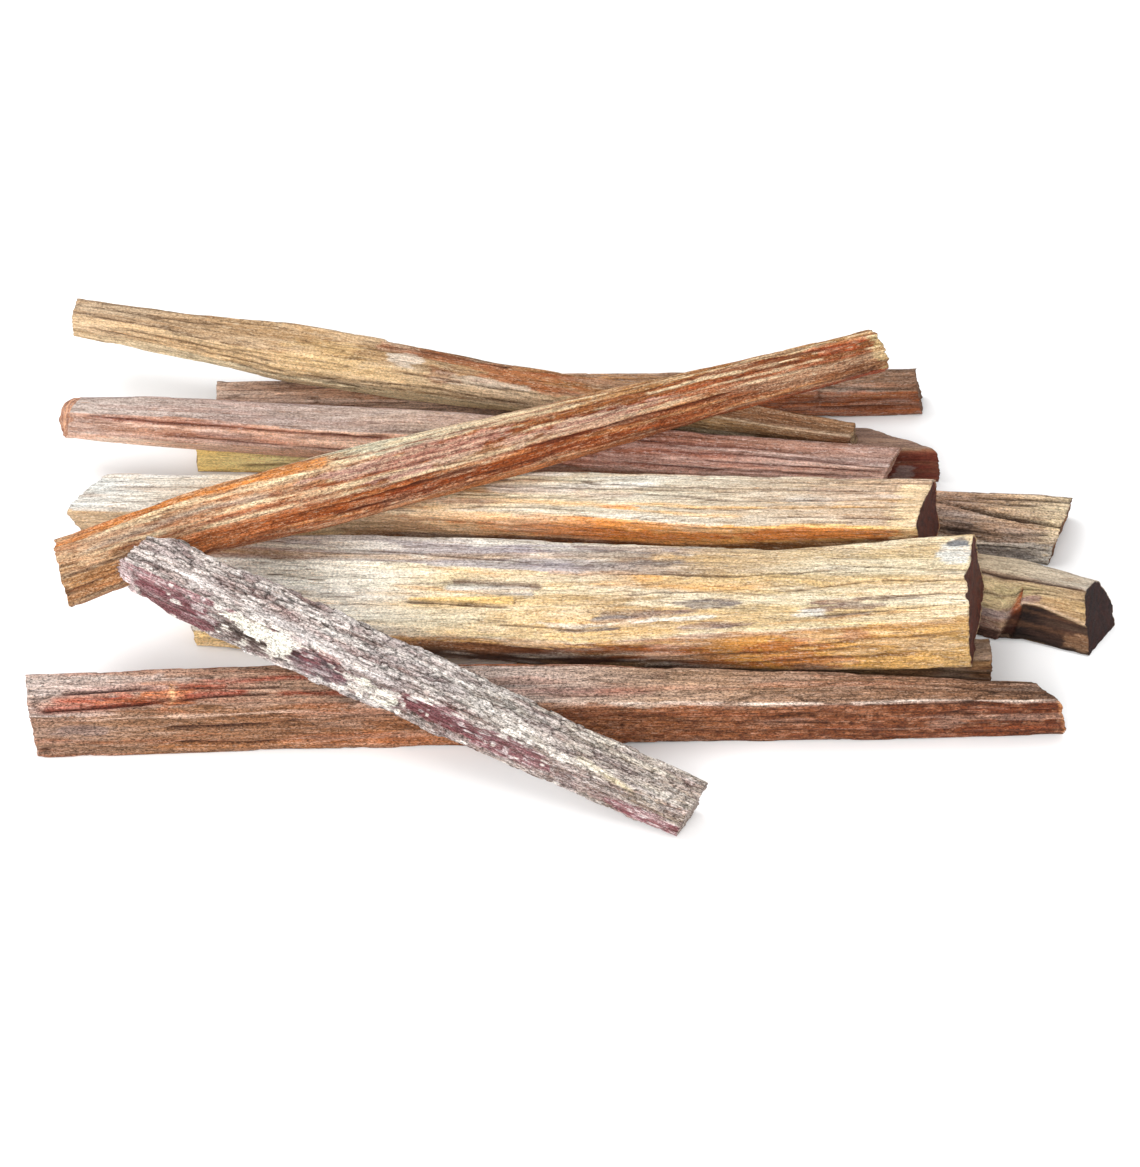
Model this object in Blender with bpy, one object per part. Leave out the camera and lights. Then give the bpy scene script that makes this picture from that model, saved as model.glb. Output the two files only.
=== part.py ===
"""A loose heap of twelve split fatwood sticks lying on a flat surface.

Every stick is one closed solid, lofted along its own axis through a few split-wood sections. Lengths below
are in millimetres and become metres when a mesh is made. +X runs along the heap, +Y to its back, +Z up. A
section's corners are (across, up) from the stick's axis, across being towards the back of the heap.
"""
import math
import random

import bmesh
import bpy
from mathutils import Vector

MM = 0.001

STATIONS = 19             # rings along a stick, both ends included
CORNER_EASE = 0.16        # how far an arris is worn back, as a share of the shorter facet beside it
LARGEST_EASE = 0.9        # and never further than this
WAVE = 0.22               # height of the slow waves that splitting leaves along a facet
WAVES_ALONG = (1.3, 2.9)  # how many of those waves there are along a stick
GROUND = 0.0              # height of the surface that the heap lies on

SPLIT_WOOD_METALLIC = 0.0


def remove_all_objects():
    for thing in list(bpy.data.objects):
        bpy.data.objects.remove(thing)


def wood(name, colour, roughness):
    """A plain wood material of one colour."""
    material = bpy.data.materials.new(name)
    material.use_nodes = True
    shader = material.node_tree.nodes["Principled BSDF"]
    shader.inputs["Base Color"].default_value = (*colour, 1.0)
    shader.inputs["Roughness"].default_value = roughness
    shader.inputs["Metallic"].default_value = SPLIT_WOOD_METALLIC
    material.diffuse_color = (*colour, 1.0)
    return material


def mix(a, b, share):
    return a + (b - a) * share


def section_at(sections, t):
    """The corners at share t of the length, between the two sections on either side of it."""
    before = max((s for s in sections if s[0] <= t), key=lambda s: s[0])
    after = min((s for s in sections if s[0] >= t), key=lambda s: s[0])
    span = after[0] - before[0]
    share = (t - before[0]) / span if span else 0.0
    return [(mix(p[0], q[0], share), mix(p[1], q[1], share)) for p, q in zip(before[1], after[1])]


def eased_outline(corners):
    """Each corner becomes two points, set back along its two facets, with a point halfway along each facet."""
    outline = []
    count = len(corners)
    for i, corner in enumerate(corners):
        here = Vector(corner)
        last = Vector(corners[i - 1])
        following = Vector(corners[(i + 1) % count])
        ease = min(CORNER_EASE * min((here - last).length, (following - here).length), LARGEST_EASE)
        outline.append(here + (last - here).normalized() * ease)
        outline.append(here + (following - here).normalized() * ease)
        outline.append((here + following) / 2)
    return outline


def slow_waves(count, seed):
    """For each point of the outline, the size and phase of the two slow waves along the stick."""
    chance = random.Random(seed)
    waves = []
    for _ in range(count):
        waves.append([(chance.uniform(-WAVE, WAVE), chance.uniform(0, math.tau)) for _ in WAVES_ALONG])
    return waves


def wave_height(waves, t):
    return sum(size * math.sin(math.tau * number * t + phase)
               for number, (size, phase) in zip(WAVES_ALONG, waves))


def station_places(sections):
    """Even stations, with any section that falls between two of them added as a station of its own."""
    places = [i / (STATIONS - 1) for i in range(STATIONS)]
    half_step = 0.25 / (STATIONS - 1)
    for t, _ in sections:
        places = [p for p in places if abs(p - t) > half_step or p in (0.0, 1.0)]
        if t not in places:
            places.append(t)
    return sorted(places)


def split_stick(name, left, right, sections, left_cut=(0, 0), right_cut=(0, 0), seed=1, grounded=False):
    """Lofts a stick from its left end to its right end.

    sections are (share of the length, corners). A cut is how far its end face leans along the stick for
    each millimetre across and for each millimetre up. A grounded stick is flat where it meets the surface.
    """
    start = Vector(left)
    end = Vector(right)
    along = (end - start).normalized()
    across = Vector((0, 0, 1)).cross(along).normalized()
    up = along.cross(across)
    waves = slow_waves(3 * len(sections[0][1]), seed)

    mesh = bmesh.new()
    rings = []
    for t in station_places(sections):
        centre = start.lerp(end, t)
        cut = left_cut if t < 0.5 else right_cut
        lean = abs(2 * t - 1)
        ring = []
        for point, wave in zip(eased_outline(section_at(sections, t)), waves):
            a, b = point + point.normalized() * wave_height(wave, t)
            shift = lean * (cut[0] * a + cut[1] * b)
            place = centre + across * a + up * b + along * shift
            if grounded and place.z < GROUND:
                place.z = GROUND
            ring.append(mesh.verts.new(place * MM))
        rings.append(ring)
    for ring, following in zip(rings, rings[1:]):
        for i in range(len(ring)):
            j = (i + 1) % len(ring)
            mesh.faces.new((ring[i], ring[j], following[j], following[i]))
    mesh.faces.new(list(reversed(rings[0])))
    mesh.faces.new(rings[-1])
    bmesh.ops.recalc_face_normals(mesh, faces=mesh.faces[:])
    bmesh.ops.triangulate(mesh, faces=mesh.faces[:])

    data = bpy.data.meshes.new(name)
    mesh.to_mesh(data)
    mesh.free()
    stick = bpy.data.objects.new(name, data)
    bpy.context.scene.collection.objects.link(stick)
    return stick


def front_long_stick():
    """The red-brown stick along the front, nearly square, on the surface from end to end."""
    stick = split_stick(
        "front_long_stick", left=(-121.7, -49.5, 7.5), right=(108.1, -46.5, 7.0),
        sections=[
            (0.00, [(-6.2, -8.6), (-5.4, 5.8), (5.6, 8.0), (5.8, -8.6)]),
            (0.25, [(-4.4, -8.5), (-4.6, 6.4), (8.2, 8.2), (8.2, -8.5)]),
            (0.56, [(-3.7, -8.3), (-4.7, 6.8), (7.0, 8.3), (7.0, -8.3)]),
            (0.85, [(-3.3, -8.2), (-4.7, 6.5), (3.6, 8.1), (4.8, -8.2)]),
            (1.00, [(-2.5, -8.1), (-4.4, 5.8), (2.0, 7.2), (4.4, -8.1)]),
        ],
        left_cut=(-0.12, -0.06), right_cut=(-0.95, -0.3), seed=11, grounded=True)
    stick.data.materials.append(wood("red_brown_wood", (0.32, 0.13, 0.08), 0.75))
    return stick


def buried_wedge_stick():
    """A tapered split under the right half of the golden one, with a square right end."""
    stick = split_stick(
        "buried_wedge_stick", left=(-12, -29.0, 2.7), right=(96, -34.6, 6.7),
        sections=[
            (0.0, [(-4.0, -3.8), (-3.8, 2.3), (3.8, 2.4), (4.0, -3.8)]),
            (1.0, [(-5.0, -7.8), (-4.6, 6.2), (4.4, 6.8), (4.8, -7.8)]),
        ],
        left_cut=(0.3, 0), seed=12, grounded=True)
    stick.data.materials.append(wood("dull_brown_wood", (0.25, 0.14, 0.08), 0.8))
    return stick


def golden_split():
    """The biggest piece: a wide wedge whose left end is down and whose right end lies on two others."""
    stick = split_stick(
        "golden_split", left=(-86.5, -9.8, 7.5), right=(91.5, -28.2, 22.4),
        sections=[
            (0.00, [(-11.2, -8.0), (-9.2, -2.5), (4.5, 6.4), (11.4, 7.6), (12.3, -8.0)]),
            (0.25, [(-12.8, -8.0), (-10.8, -2.2), (4.1, 6.0), (12.6, 7.5), (13.0, -7.5)]),
            (0.50, [(-16.0, -8.0), (-15.6, 0.4), (1.6, 5.6), (11.0, 7.0), (11.2, -7.5)]),
            (0.75, [(-15.6, -8.2), (-14.4, 4.3), (-3.0, 7.2), (7.6, 8.9), (9.7, -7.9)]),
            (1.00, [(-13.4, -8.6), (-11.5, 7.2), (0.5, 9.0), (13.4, 9.4), (13.9, -8.2)]),
        ],
        left_cut=(0.1, -0.15), right_cut=(0.08, -0.12), seed=13, grounded=True)
    stick.data.materials.append(wood("golden_wood", (0.62, 0.42, 0.20), 0.7))
    return stick


def knobbly_short_stick():
    """The tan stick under two right-hand ends, with a torn step in its front and a dark blunt end."""
    stick = split_stick(
        "knobbly_short_stick", left=(32, 12.5, 5.2), right=(121.4, -17.5, 7.2),
        sections=[
            (0.00, [(-4.4, -6.3), (-4.8, 0.5), (-3.0, 4.2), (3.0, 4.4), (4.4, 0.0), (4.0, -6.3)]),
            (0.50, [(-6.8, -7.3), (-6.6, 1.0), (-3.2, 5.8), (4.2, 6.0), (5.8, 1.0), (5.4, -7.3)]),
            (0.79, [(-8.8, -7.9), (-6.6, 0.8), (-1.0, 7.2), (6.0, 7.2), (7.0, 1.5), (6.6, -7.9)]),
            (0.83, [(-7.4, -8.0), (-3.9, 0.9), (-0.9, 7.2), (6.0, 7.2), (7.0, 1.2), (6.2, -8.0)]),
            (1.00, [(-7.6, -8.3), (-3.6, 0.8), (-0.9, 7.4), (4.8, 7.3), (6.6, -1.5), (5.0, -8.3)]),
        ],
        left_cut=(0.2, 0), right_cut=(0.3, -0.33), seed=14, grounded=True)
    stick.data.materials.append(wood("tan_wood", (0.45, 0.30, 0.17), 0.78))
    return stick


def grey_wedge_stick():
    """A flat split that narrows to its hidden left end, with two facets above."""
    stick = split_stick(
        "grey_wedge_stick", left=(8, 27.5, 4.0), right=(116.3, 13.3, 4.0),
        sections=[
            (0.00, [(-2.8, -5.0), (-2.6, 1.5), (-0.5, 2.8), (3.0, 3.2), (3.2, -5.0)]),
            (0.55, [(-5.6, -5.0), (-5.2, 1.5), (-0.5, 3.8), (6.2, 4.0), (6.4, -5.0)]),
            (1.00, [(-7.8, -5.0), (-7.2, 1.6), (-1.5, 4.2), (9.0, 4.4), (9.0, -5.0)]),
        ],
        left_cut=(0.2, 0), right_cut=(0.21, 0.14), seed=15, grounded=True)
    stick.data.materials.append(wood("grey_brown_wood", (0.33, 0.24, 0.17), 0.82))
    return stick


def cream_stick():
    """A long flat-topped stick, left end down on the surface and right end on the knobbly one."""
    stick = split_stick(
        "cream_stick", left=(-112, 17.5, 6.4), right=(82.5, -2.5, 21.0),
        sections=[
            (0.00, [(-5.4, -7.2), (-5.6, 6.2), (0.5, 6.7), (7.4, 6.4), (6.9, -7.2)]),
            (0.25, [(-4.0, -6.4), (-4.2, 5.7), (2.0, 6.4), (9.0, 6.2), (8.0, -6.4)]),
            (0.37, [(-3.2, -6.4), (-3.4, 5.8), (2.5, 6.4), (9.6, 6.3), (8.6, -6.4)]),
            (0.57, [(-4.2, -6.6), (-4.8, 6.0), (2.5, 6.8), (10.2, 6.6), (9.2, -6.6)]),
            (0.75, [(-6.4, -7.2), (-7.6, 6.8), (1.0, 7.4), (9.4, 7.3), (8.8, -7.2)]),
            (1.00, [(-6.5, -7.7), (-7.7, 7.5), (0.5, 7.9), (8.9, 7.6), (8.4, -7.7)]),
        ],
        left_cut=(0.70, -0.35), right_cut=(0.18, -0.15), seed=16, grounded=True)
    stick.data.materials.append(wood("cream_wood", (0.66, 0.50, 0.33), 0.7))
    return stick


def yellow_red_stick():
    """The low stick behind, its right end cut slantwise to a long point at the front."""
    stick = split_stick(
        "yellow_red_stick", left=(-90, 43.5, 4.8), right=(78.6, 40.0, 5.0),
        sections=[
            (0.0, [(-5.2, -5.8), (-5.0, 4.5), (4.8, 4.6), (5.0, -5.8)]),
            (1.0, [(-5.2, -6.0), (-4.8, 5.1), (4.8, 4.4), (5.0, -6.0)]),
        ],
        right_cut=(-2.0, 0), seed=17, grounded=True)
    stick.data.materials.append(wood("yellow_and_red_wood", (0.36, 0.17, 0.09), 0.7))
    return stick


def mauve_stick():
    """The thin, nearly round mauve stick with a cracked left end."""
    stick = split_stick(
        "mauve_stick", left=(-120.5, 41.4, 15.1), right=(76, 24.7, 13.8),
        sections=[
            (0.00, [(-2.8, -4.6), (-4.9, -0.4), (-2.8, 4.0), (2.6, 4.8), (4.8, 1.0), (3.2, -4.4)]),
            (0.10, [(-3.1, -5.0), (-5.2, -0.5), (-3.0, 4.2), (3.2, 5.8), (5.2, 1.0), (3.5, -4.8)]),
            (0.40, [(-3.8, -5.6), (-6.2, -0.8), (-3.4, 5.0), (3.4, 6.4), (6.3, 1.2), (4.2, -4.9)]),
            (1.00, [(-3.4, -5.2), (-5.6, -0.6), (-3.2, 4.4), (2.8, 5.1), (5.2, 1.0), (3.8, -5.0)]),
        ],
        left_cut=(-0.5, 0.39), right_cut=(0.35, 0.28), seed=18)
    stick.data.materials.append(wood("mauve_wood", (0.38, 0.22, 0.20), 0.75))
    return stick


def back_brown_stick():
    """The thin stick furthest back, on the surface."""
    stick = split_stick(
        "back_brown_stick", left=(-86, 57.5, 5.2), right=(85.5, 61.3, 5.2),
        sections=[
            (0.0, [(-4.2, -6.2), (-4.0, 4.2), (2.6, 5.2), (3.8, -6.2)]),
            (1.0, [(-3.0, -6.2), (-3.6, 3.8), (3.2, 5.6), (3.8, -6.2)]),
        ],
        right_cut=(0.0, -0.2), seed=19, grounded=True)
    stick.data.materials.append(wood("dark_brown_wood", (0.30, 0.16, 0.09), 0.78))
    return stick


def straw_stick():
    """The straw-coloured stick over the two back ones, fattest near its left end."""
    stick = split_stick(
        "straw_stick", left=(-120.8, 74.0, 18.3), right=(67.5, 33.4, 14.5),
        sections=[
            (0.00, [(-2.8, -4.2), (-3.9, -0.5), (-2.8, 3.0), (2.8, 4.2), (3.8, -3.8)]),
            (0.14, [(-3.2, -4.8), (-4.4, -1.0), (-3.4, 3.4), (3.2, 4.8), (4.2, -4.4)]),
            (0.28, [(-4.2, -6.8), (-6.4, -2.0), (-4.6, 3.9), (4.4, 6.0), (5.0, -5.8)]),
            (0.42, [(-4.0, -6.4), (-6.0, -1.8), (-4.4, 4.0), (3.8, 5.8), (4.8, -5.6)]),
            (0.58, [(-3.2, -5.2), (-5.2, -1.4), (-4.0, 3.8), (3.2, 5.0), (4.2, -4.8)]),
            (1.00, [(-1.4, -3.8), (-2.2, -0.8), (-1.6, 3.0), (2.8, 4.2), (3.4, -4.2)]),
        ],
        right_cut=(0.1, -0.1), seed=20)
    stick.data.materials.append(wood("straw_wood", (0.52, 0.35, 0.17), 0.75))
    return stick


def orange_crossing_stick():
    """The ridged orange stick across the top of the heap, thick at its left end and thin at its right."""
    stick = split_stick(
        "orange_crossing_stick", left=(-115.2, -24.1, 27.2), right=(74.4, 50.6, 27.8),
        sections=[
            (0.00, [(-3.8, -8.0), (-7.6, -2.6), (-5.4, 4.6), (0.4, 7.2), (6.2, 5.8), (5.6, -6.8)]),
            (0.17, [(-0.8, -5.2), (-5.0, -1.0), (-3.4, 5.4), (2.6, 8.6), (8.6, 6.6), (8.0, -4.6)]),
            (0.31, [(-1.2, -7.2), (-5.4, -1.8), (-3.8, 5.2), (2.6, 8.8), (9.0, 6.8), (8.4, -5.8)]),
            (0.56, [(-1.2, -6.8), (-4.8, -1.8), (-3.0, 4.6), (2.6, 7.6), (7.8, 5.6), (7.2, -5.6)]),
            (0.79, [(-1.0, -5.6), (-3.8, -1.6), (-2.4, 3.6), (1.8, 6.0), (5.8, 4.6), (5.0, -7.9)]),
            (1.00, [(-1.8, -4.8), (-4.2, -1.6), (-2.8, 2.8), (0.8, 4.9), (4.2, 4.0), (4.0, -7.0)]),
        ],
        left_cut=(0.2, -0.15), right_cut=(-0.1, -0.1), seed=21)
    stick.data.materials.append(wood("orange_wood", (0.50, 0.20, 0.08), 0.65))
    return stick


def scaly_grey_stick():
    """The weathered square stick on top, leaning over the front one, right end down on the surface."""
    stick = split_stick(
        "scaly_grey_stick", left=(-97.8, -28.1, 34.3), right=(27.3, -77.3, 6.7),
        sections=[
            (0.00, [(-4.4, -4.0), (-5.0, 4.6), (4.6, 5.6), (4.8, -7.4)]),
            (0.05, [(-5.6, -4.2), (-6.4, 5.6), (6.6, 8.2), (5.8, -8.2)]),
            (0.09, [(-6.0, -5.8), (-6.6, 5.8), (6.0, 7.0), (6.3, -7.8)]),
            (0.40, [(-6.1, -5.8), (-6.6, 5.8), (6.0, 7.0), (6.0, -4.2)]),
            (0.62, [(-5.7, -5.9), (-6.1, 5.4), (5.5, 6.5), (5.6, -3.8)]),
            (1.00, [(-4.2, -6.6), (-5.4, 4.8), (4.8, 5.6), (5.4, -6.6)]),
        ],
        left_cut=(0.36, -0.25), right_cut=(0.11, 0.09), seed=22, grounded=True)
    stick.data.materials.append(wood("scaly_grey_wood", (0.36, 0.28, 0.28), 0.85))
    return stick


def centre_heap(sticks):
    """Moves the sticks together so that the heap's box has its bottom centre at the origin."""
    corners = [stick.matrix_world @ vertex.co for stick in sticks for vertex in stick.data.vertices]
    middle = Vector((
        -(min(c.x for c in corners) + max(c.x for c in corners)) / 2,
        -(min(c.y for c in corners) + max(c.y for c in corners)) / 2,
        -min(c.z for c in corners)))
    for stick in sticks:
        stick.location = middle


def build_heap():
    remove_all_objects()
    sticks = [
        front_long_stick(),
        buried_wedge_stick(),
        golden_split(),
        knobbly_short_stick(),
        grey_wedge_stick(),
        cream_stick(),
        yellow_red_stick(),
        mauve_stick(),
        back_brown_stick(),
        straw_stick(),
        orange_crossing_stick(),
        scaly_grey_stick(),
    ]
    bpy.context.view_layer.update()
    centre_heap(sticks)


build_heap()
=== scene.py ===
"""How the heap of twelve split fatwood sticks looks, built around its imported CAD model.

Each CAD stick is measured, and a fine mesh of the same stick takes its place: split facets with fibres,
grooves and torn layers, ragged ends, and a colour for every point that the wood's material adds grain to.
A place on a stick is (t, w): t is the share of its length from the left end, and w goes round it, facet by
facet, from the arris at the bottom of its back: 0 to 1 is the underside, and then the front, top and back.
Inside a stick s runs along it, a across towards the back of the heap, and b up, all in millimetres.
A colour is (red, green, blue) from 0 to 255 as a screen shows it, or those and a share of its light.
"""

import math

import bpy
import numpy as np
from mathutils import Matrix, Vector
from mathutils.bvhtree import BVHTree


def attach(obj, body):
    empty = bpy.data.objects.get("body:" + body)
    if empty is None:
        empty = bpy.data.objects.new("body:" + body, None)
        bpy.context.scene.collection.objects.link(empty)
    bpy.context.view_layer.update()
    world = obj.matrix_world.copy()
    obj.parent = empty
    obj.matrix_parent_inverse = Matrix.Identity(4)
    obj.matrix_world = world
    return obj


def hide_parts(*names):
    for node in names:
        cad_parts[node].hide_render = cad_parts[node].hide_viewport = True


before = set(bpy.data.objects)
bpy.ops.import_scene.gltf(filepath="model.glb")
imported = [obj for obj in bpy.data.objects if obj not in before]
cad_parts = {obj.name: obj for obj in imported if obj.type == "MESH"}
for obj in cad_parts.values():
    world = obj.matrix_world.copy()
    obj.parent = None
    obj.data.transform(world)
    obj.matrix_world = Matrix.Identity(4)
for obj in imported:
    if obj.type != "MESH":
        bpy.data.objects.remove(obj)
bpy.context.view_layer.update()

# lengths are in mm unless they say otherwise
MM = 0.001
COARSE_STATIONS = 61      # where the CAD stick is measured
RAYS = 240                # how many points are measured round each of those
END_INSET = 0.4           # how far inside an end its outline is measured
CORNER_BLUR = 0.12        # how sharply the corner between two facets is looked for
END_ZONE = 0.38           # the faces of an end lie further from the middle than this share of the length
END_FACING = 0.35         # and face along the stick by at least this much
SAME_NORMAL = 0.9995      # the faces of one flat cut agree this well
SAME_PLANE = 0.1          # and lie within this of one plane
UNDERSIDE = (240, 300)    # a facet that faces this way, in degrees, is hidden
HIDDEN_SPACING = 2.0      # how much wider the mesh is there
COLUMN_MULTIPLE = 16      # so that the rings of an end can be halved four times
RIM_DEPTH = 2.6           # how far in from an end its raggedness reaches
LEVELLING = 0.75          # how much of a stick's average fall is given back, so that it keeps its size
HEART = (31, -23)         # where the growth rings on an end have their middle
RING_SPACING = 1.9
MAP_SIDE = (0.01, 0.98, 0.17, 0.82)    # where the side lies on the map: start and size each way
MAP_ENDS = ((0.1, 0.08), (0.35, 0.08))    # the middles of the two ends on the map
MAP_END_RADIUS = 0.07


# ---- noise ----------------------------------------------------------------------------------------------

def lattice(x, y, z, seed):
    """A steady random number from 0 to 1 for each corner of the noise's grid."""
    h = (x * 374761393 + y * 668265263 + z * 1440662683 + seed * 974634777) & 0xFFFFFFFF
    h = ((h ^ (h >> 13)) * 1274126177) & 0xFFFFFFFF
    h = ((h ^ (h >> 16)) * 2246822519) & 0xFFFFFFFF
    return ((h ^ (h >> 15)) & 0xFFFFFF) / float(0xFFFFFF)


def noise(p, along, across, seed):
    """Smooth noise from -1 to 1 at the points p, (s, a, b), with grains of that length and width."""
    s, a, b = p
    turned = (s / along, (a * 0.83 + b * 0.56) / across, (b * 0.83 - a * 0.56) / across)
    low = [np.floor(c) for c in turned]
    part = [c - f for c, f in zip(turned, low)]
    part = [f * f * f * (f * (f * 6 - 15) + 10) for f in part]
    x, y, z = [f.astype(np.int64) for f in low]
    total = 0.0
    for i in (0, 1):
        for j in (0, 1):
            for k in (0, 1):
                weight = ((part[0] if i else 1 - part[0]) * (part[1] if j else 1 - part[1])
                          * (part[2] if k else 1 - part[2]))
                total = total + weight * lattice(x + i, y + j, z + k, seed)
    return total * 2 - 1


def ramp(x, low, high):
    """0 below low, 1 above high, and a smooth rise between them."""
    x = np.clip((x - low) / (high - low), 0, 1)
    return x * x * (3 - 2 * x)


def line(x, width):
    """1 where x is zero, falling to 0 at width either side."""
    return np.clip(1 - np.abs(x) / width, 0, 1)


def mix(x, y, share):
    """x where share is 0, y where it is 1, and what lies between them."""
    return x + (y - x) * share


def plates(u, v, seed):
    """Rough cells over a surface: how far each point is from its cell's edge, and its cell's own number."""
    near_u, near_v = np.floor(u).astype(np.int64), np.floor(v).astype(np.int64)
    first, second, own = np.full(u.shape, 9.0), np.full(u.shape, 9.0), np.zeros(u.shape)
    for i in (-1, 0, 1):
        for j in (-1, 0, 1):
            cu, cv = near_u + i, near_v + j
            gap = np.hypot(u - cu - lattice(cu, cv, 0, seed), v - cv - lattice(cu, cv, 1, seed))
            closer = gap < first
            second = np.where(closer, first, np.minimum(second, gap))
            own = np.where(closer, lattice(cu, cv, 2, seed), own)
            first = np.minimum(first, gap)
    return second - first, own


# ---- colours --------------------------------------------------------------------------------------------

def seen(red, green, blue, share=1.0):
    """A colour as it looks on a screen, as the linear light that a shader works in, or a share of that."""
    values = np.array((red, green, blue)) / 255.0
    return share * np.where(values <= 0.04045, values / 12.92, ((values + 0.055) / 1.055) ** 2.4)


IVORY = (228, 220, 206)
CREAM = (224, 204, 176)
PALE_GOLD = (236, 210, 158)
HONEY = (208, 158, 96)
STRAW = (204, 168, 124)
TAN = (188, 152, 112)
OLIVE = (150, 124, 86)
AMBER = (200, 138, 78)
ORANGE = (196, 118, 66)
RUST = (170, 92, 52)
RED_BROWN = (150, 84, 56)
OX_RED = (120, 60, 44)
MAROON = (112, 66, 62)
PINK = (206, 162, 146)
LILAC = (190, 178, 172)
GREY = (176, 164, 154)
GREY_BROWN = (150, 126, 108)
BROWN = (128, 88, 60)
UMBER = (92, 62, 44)
BLACKISH = (58, 40, 32)


# ---- measuring a CAD stick ------------------------------------------------------------------------------

def cap_plane(normals, areas, centres, along, side):
    """A point and the outward normal of the flat end of a stick, side being -1 for left and 1 for right."""
    place = centres @ along
    reach = place.max() - place.min()
    near = side * (place - place.mean()) > END_ZONE * reach
    facing = side * (normals @ along) > END_FACING
    found = np.where(near & facing)[0]
    best = None
    for i in found:
        level = np.abs((centres[found] - centres[i]) @ normals[i]) < SAME_PLANE
        same = found[(normals[found] @ normals[i] > SAME_NORMAL) & level]
        total = areas[same].sum()
        if best is None or total > best[0]:
            normal = (normals[same] * areas[same, None]).sum(0)
            point = (centres[same] * areas[same, None]).sum(0) / total
            best = (total, point, normal / np.linalg.norm(normal))
    return best[1:]


def measure(node):
    """The stick's search tree, its own directions, and where and how each end is cut."""
    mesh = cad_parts[node].data
    mesh.calc_loop_triangles()
    points = np.array([v.co for v in mesh.vertices]) / MM
    triangles = np.array([t.vertices for t in mesh.loop_triangles])
    corner = points[triangles]
    normals = np.cross(corner[:, 1] - corner[:, 0], corner[:, 2] - corner[:, 0])
    areas = np.linalg.norm(normals, axis=1)
    normals /= np.maximum(areas, 1e-12)[:, None]
    centres = corner.mean(1)
    middle = (centres * areas[:, None]).sum(0) / areas.sum()
    spread = ((centres - middle) * areas[:, None]).T @ (centres - middle)
    along = np.linalg.eigh(spread)[1][:, -1]
    along = along if along[0] > 0 else -along
    across = np.cross((0, 0, 1), along)
    across /= np.linalg.norm(across)
    up = np.cross(along, across)
    ends = []
    for side in (-1, 1):
        point, normal = cap_plane(normals, areas, centres, along, side)
        n_s, n_a, n_b = normal @ along, normal @ across, normal @ up
        ends.append((((point - middle) @ normal) / n_s, -n_a / n_s, -n_b / n_s))
    tree = BVHTree.FromPolygons([Vector(p) for p in points], triangles.tolist())
    return {"tree": tree, "middle": middle, "axes": np.array([along, across, up]), "ends": ends}


def axis_place(shape, t):
    """Where the stick's axis is at share t of its length, and how far its sections lean there."""
    (left, *left_cut), (right, *right_cut) = shape["ends"]
    lean = np.abs(2 * t - 1)
    s = left + (right - left) * t
    cut_a = np.where(t < 0.5, left_cut[0], right_cut[0]) * lean
    cut_b = np.where(t < 0.5, left_cut[1], right_cut[1]) * lean
    return s, cut_a, cut_b


def outline(shape, t):
    """The stick's outline at share t, as RAYS points (a, b) round its axis."""
    inside = END_INSET / (shape["ends"][1][0] - shape["ends"][0][0])
    s, cut_a, cut_b = axis_place(shape, np.array(min(max(t, inside), 1 - inside)))
    along, across, up = shape["axes"]
    start = shape["middle"] + along * s
    points = []
    for k in range(RAYS):
        angle = math.tau * k / RAYS
        a, b = math.cos(angle), math.sin(angle)
        direction = across * a + up * b + along * (cut_a * a + cut_b * b)
        length = np.linalg.norm(direction)
        reach = shape["tree"].ray_cast(Vector(start), Vector(direction / length))[3] / length
        points.append((a * reach, b * reach))
    return np.array(points)


def facet_columns(shape, facets, t, shares):
    """The outline at share t, resampled so that the same column keeps to the same part of the same facet,
    and the facets' widths."""
    points = outline(shape, t)[::-1]    # from the underside to the front, over the top, to the back
    turns = [mix(f[0], f[1], t) for f in facets]
    starts = []
    for i, turn in enumerate(turns):
        half = math.radians(turn + (turns[i - 1] - turn) % 360 / 2)
        starts.append(np.array((math.cos(half), math.sin(half))))
    first = int(np.argmax(points @ starts[0]))
    points = np.roll(points, -first, axis=0)
    closed = np.vstack([points, points[:1]])
    arc = np.concatenate([[0], np.cumsum(np.linalg.norm(np.diff(closed, axis=0), axis=1))])
    step = np.diff(arc)
    corners = [0.0]
    for direction in starts[1:]:
        reach = points @ direction
        weight = np.exp((reach - reach.max()) / CORNER_BLUR) * step
        corners.append(float((weight * arc[:-1]).sum() / weight.sum()))
    corners.append(float(arc[-1]))
    corners = np.maximum.accumulate(corners)
    places = np.interp(shares, np.arange(len(corners)), corners)
    column = np.stack([np.interp(places, arc, closed[:, 0]), np.interp(places, arc, closed[:, 1])], axis=1)
    return column, np.diff(corners)


# ---- the fine stick -------------------------------------------------------------------------------------

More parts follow.
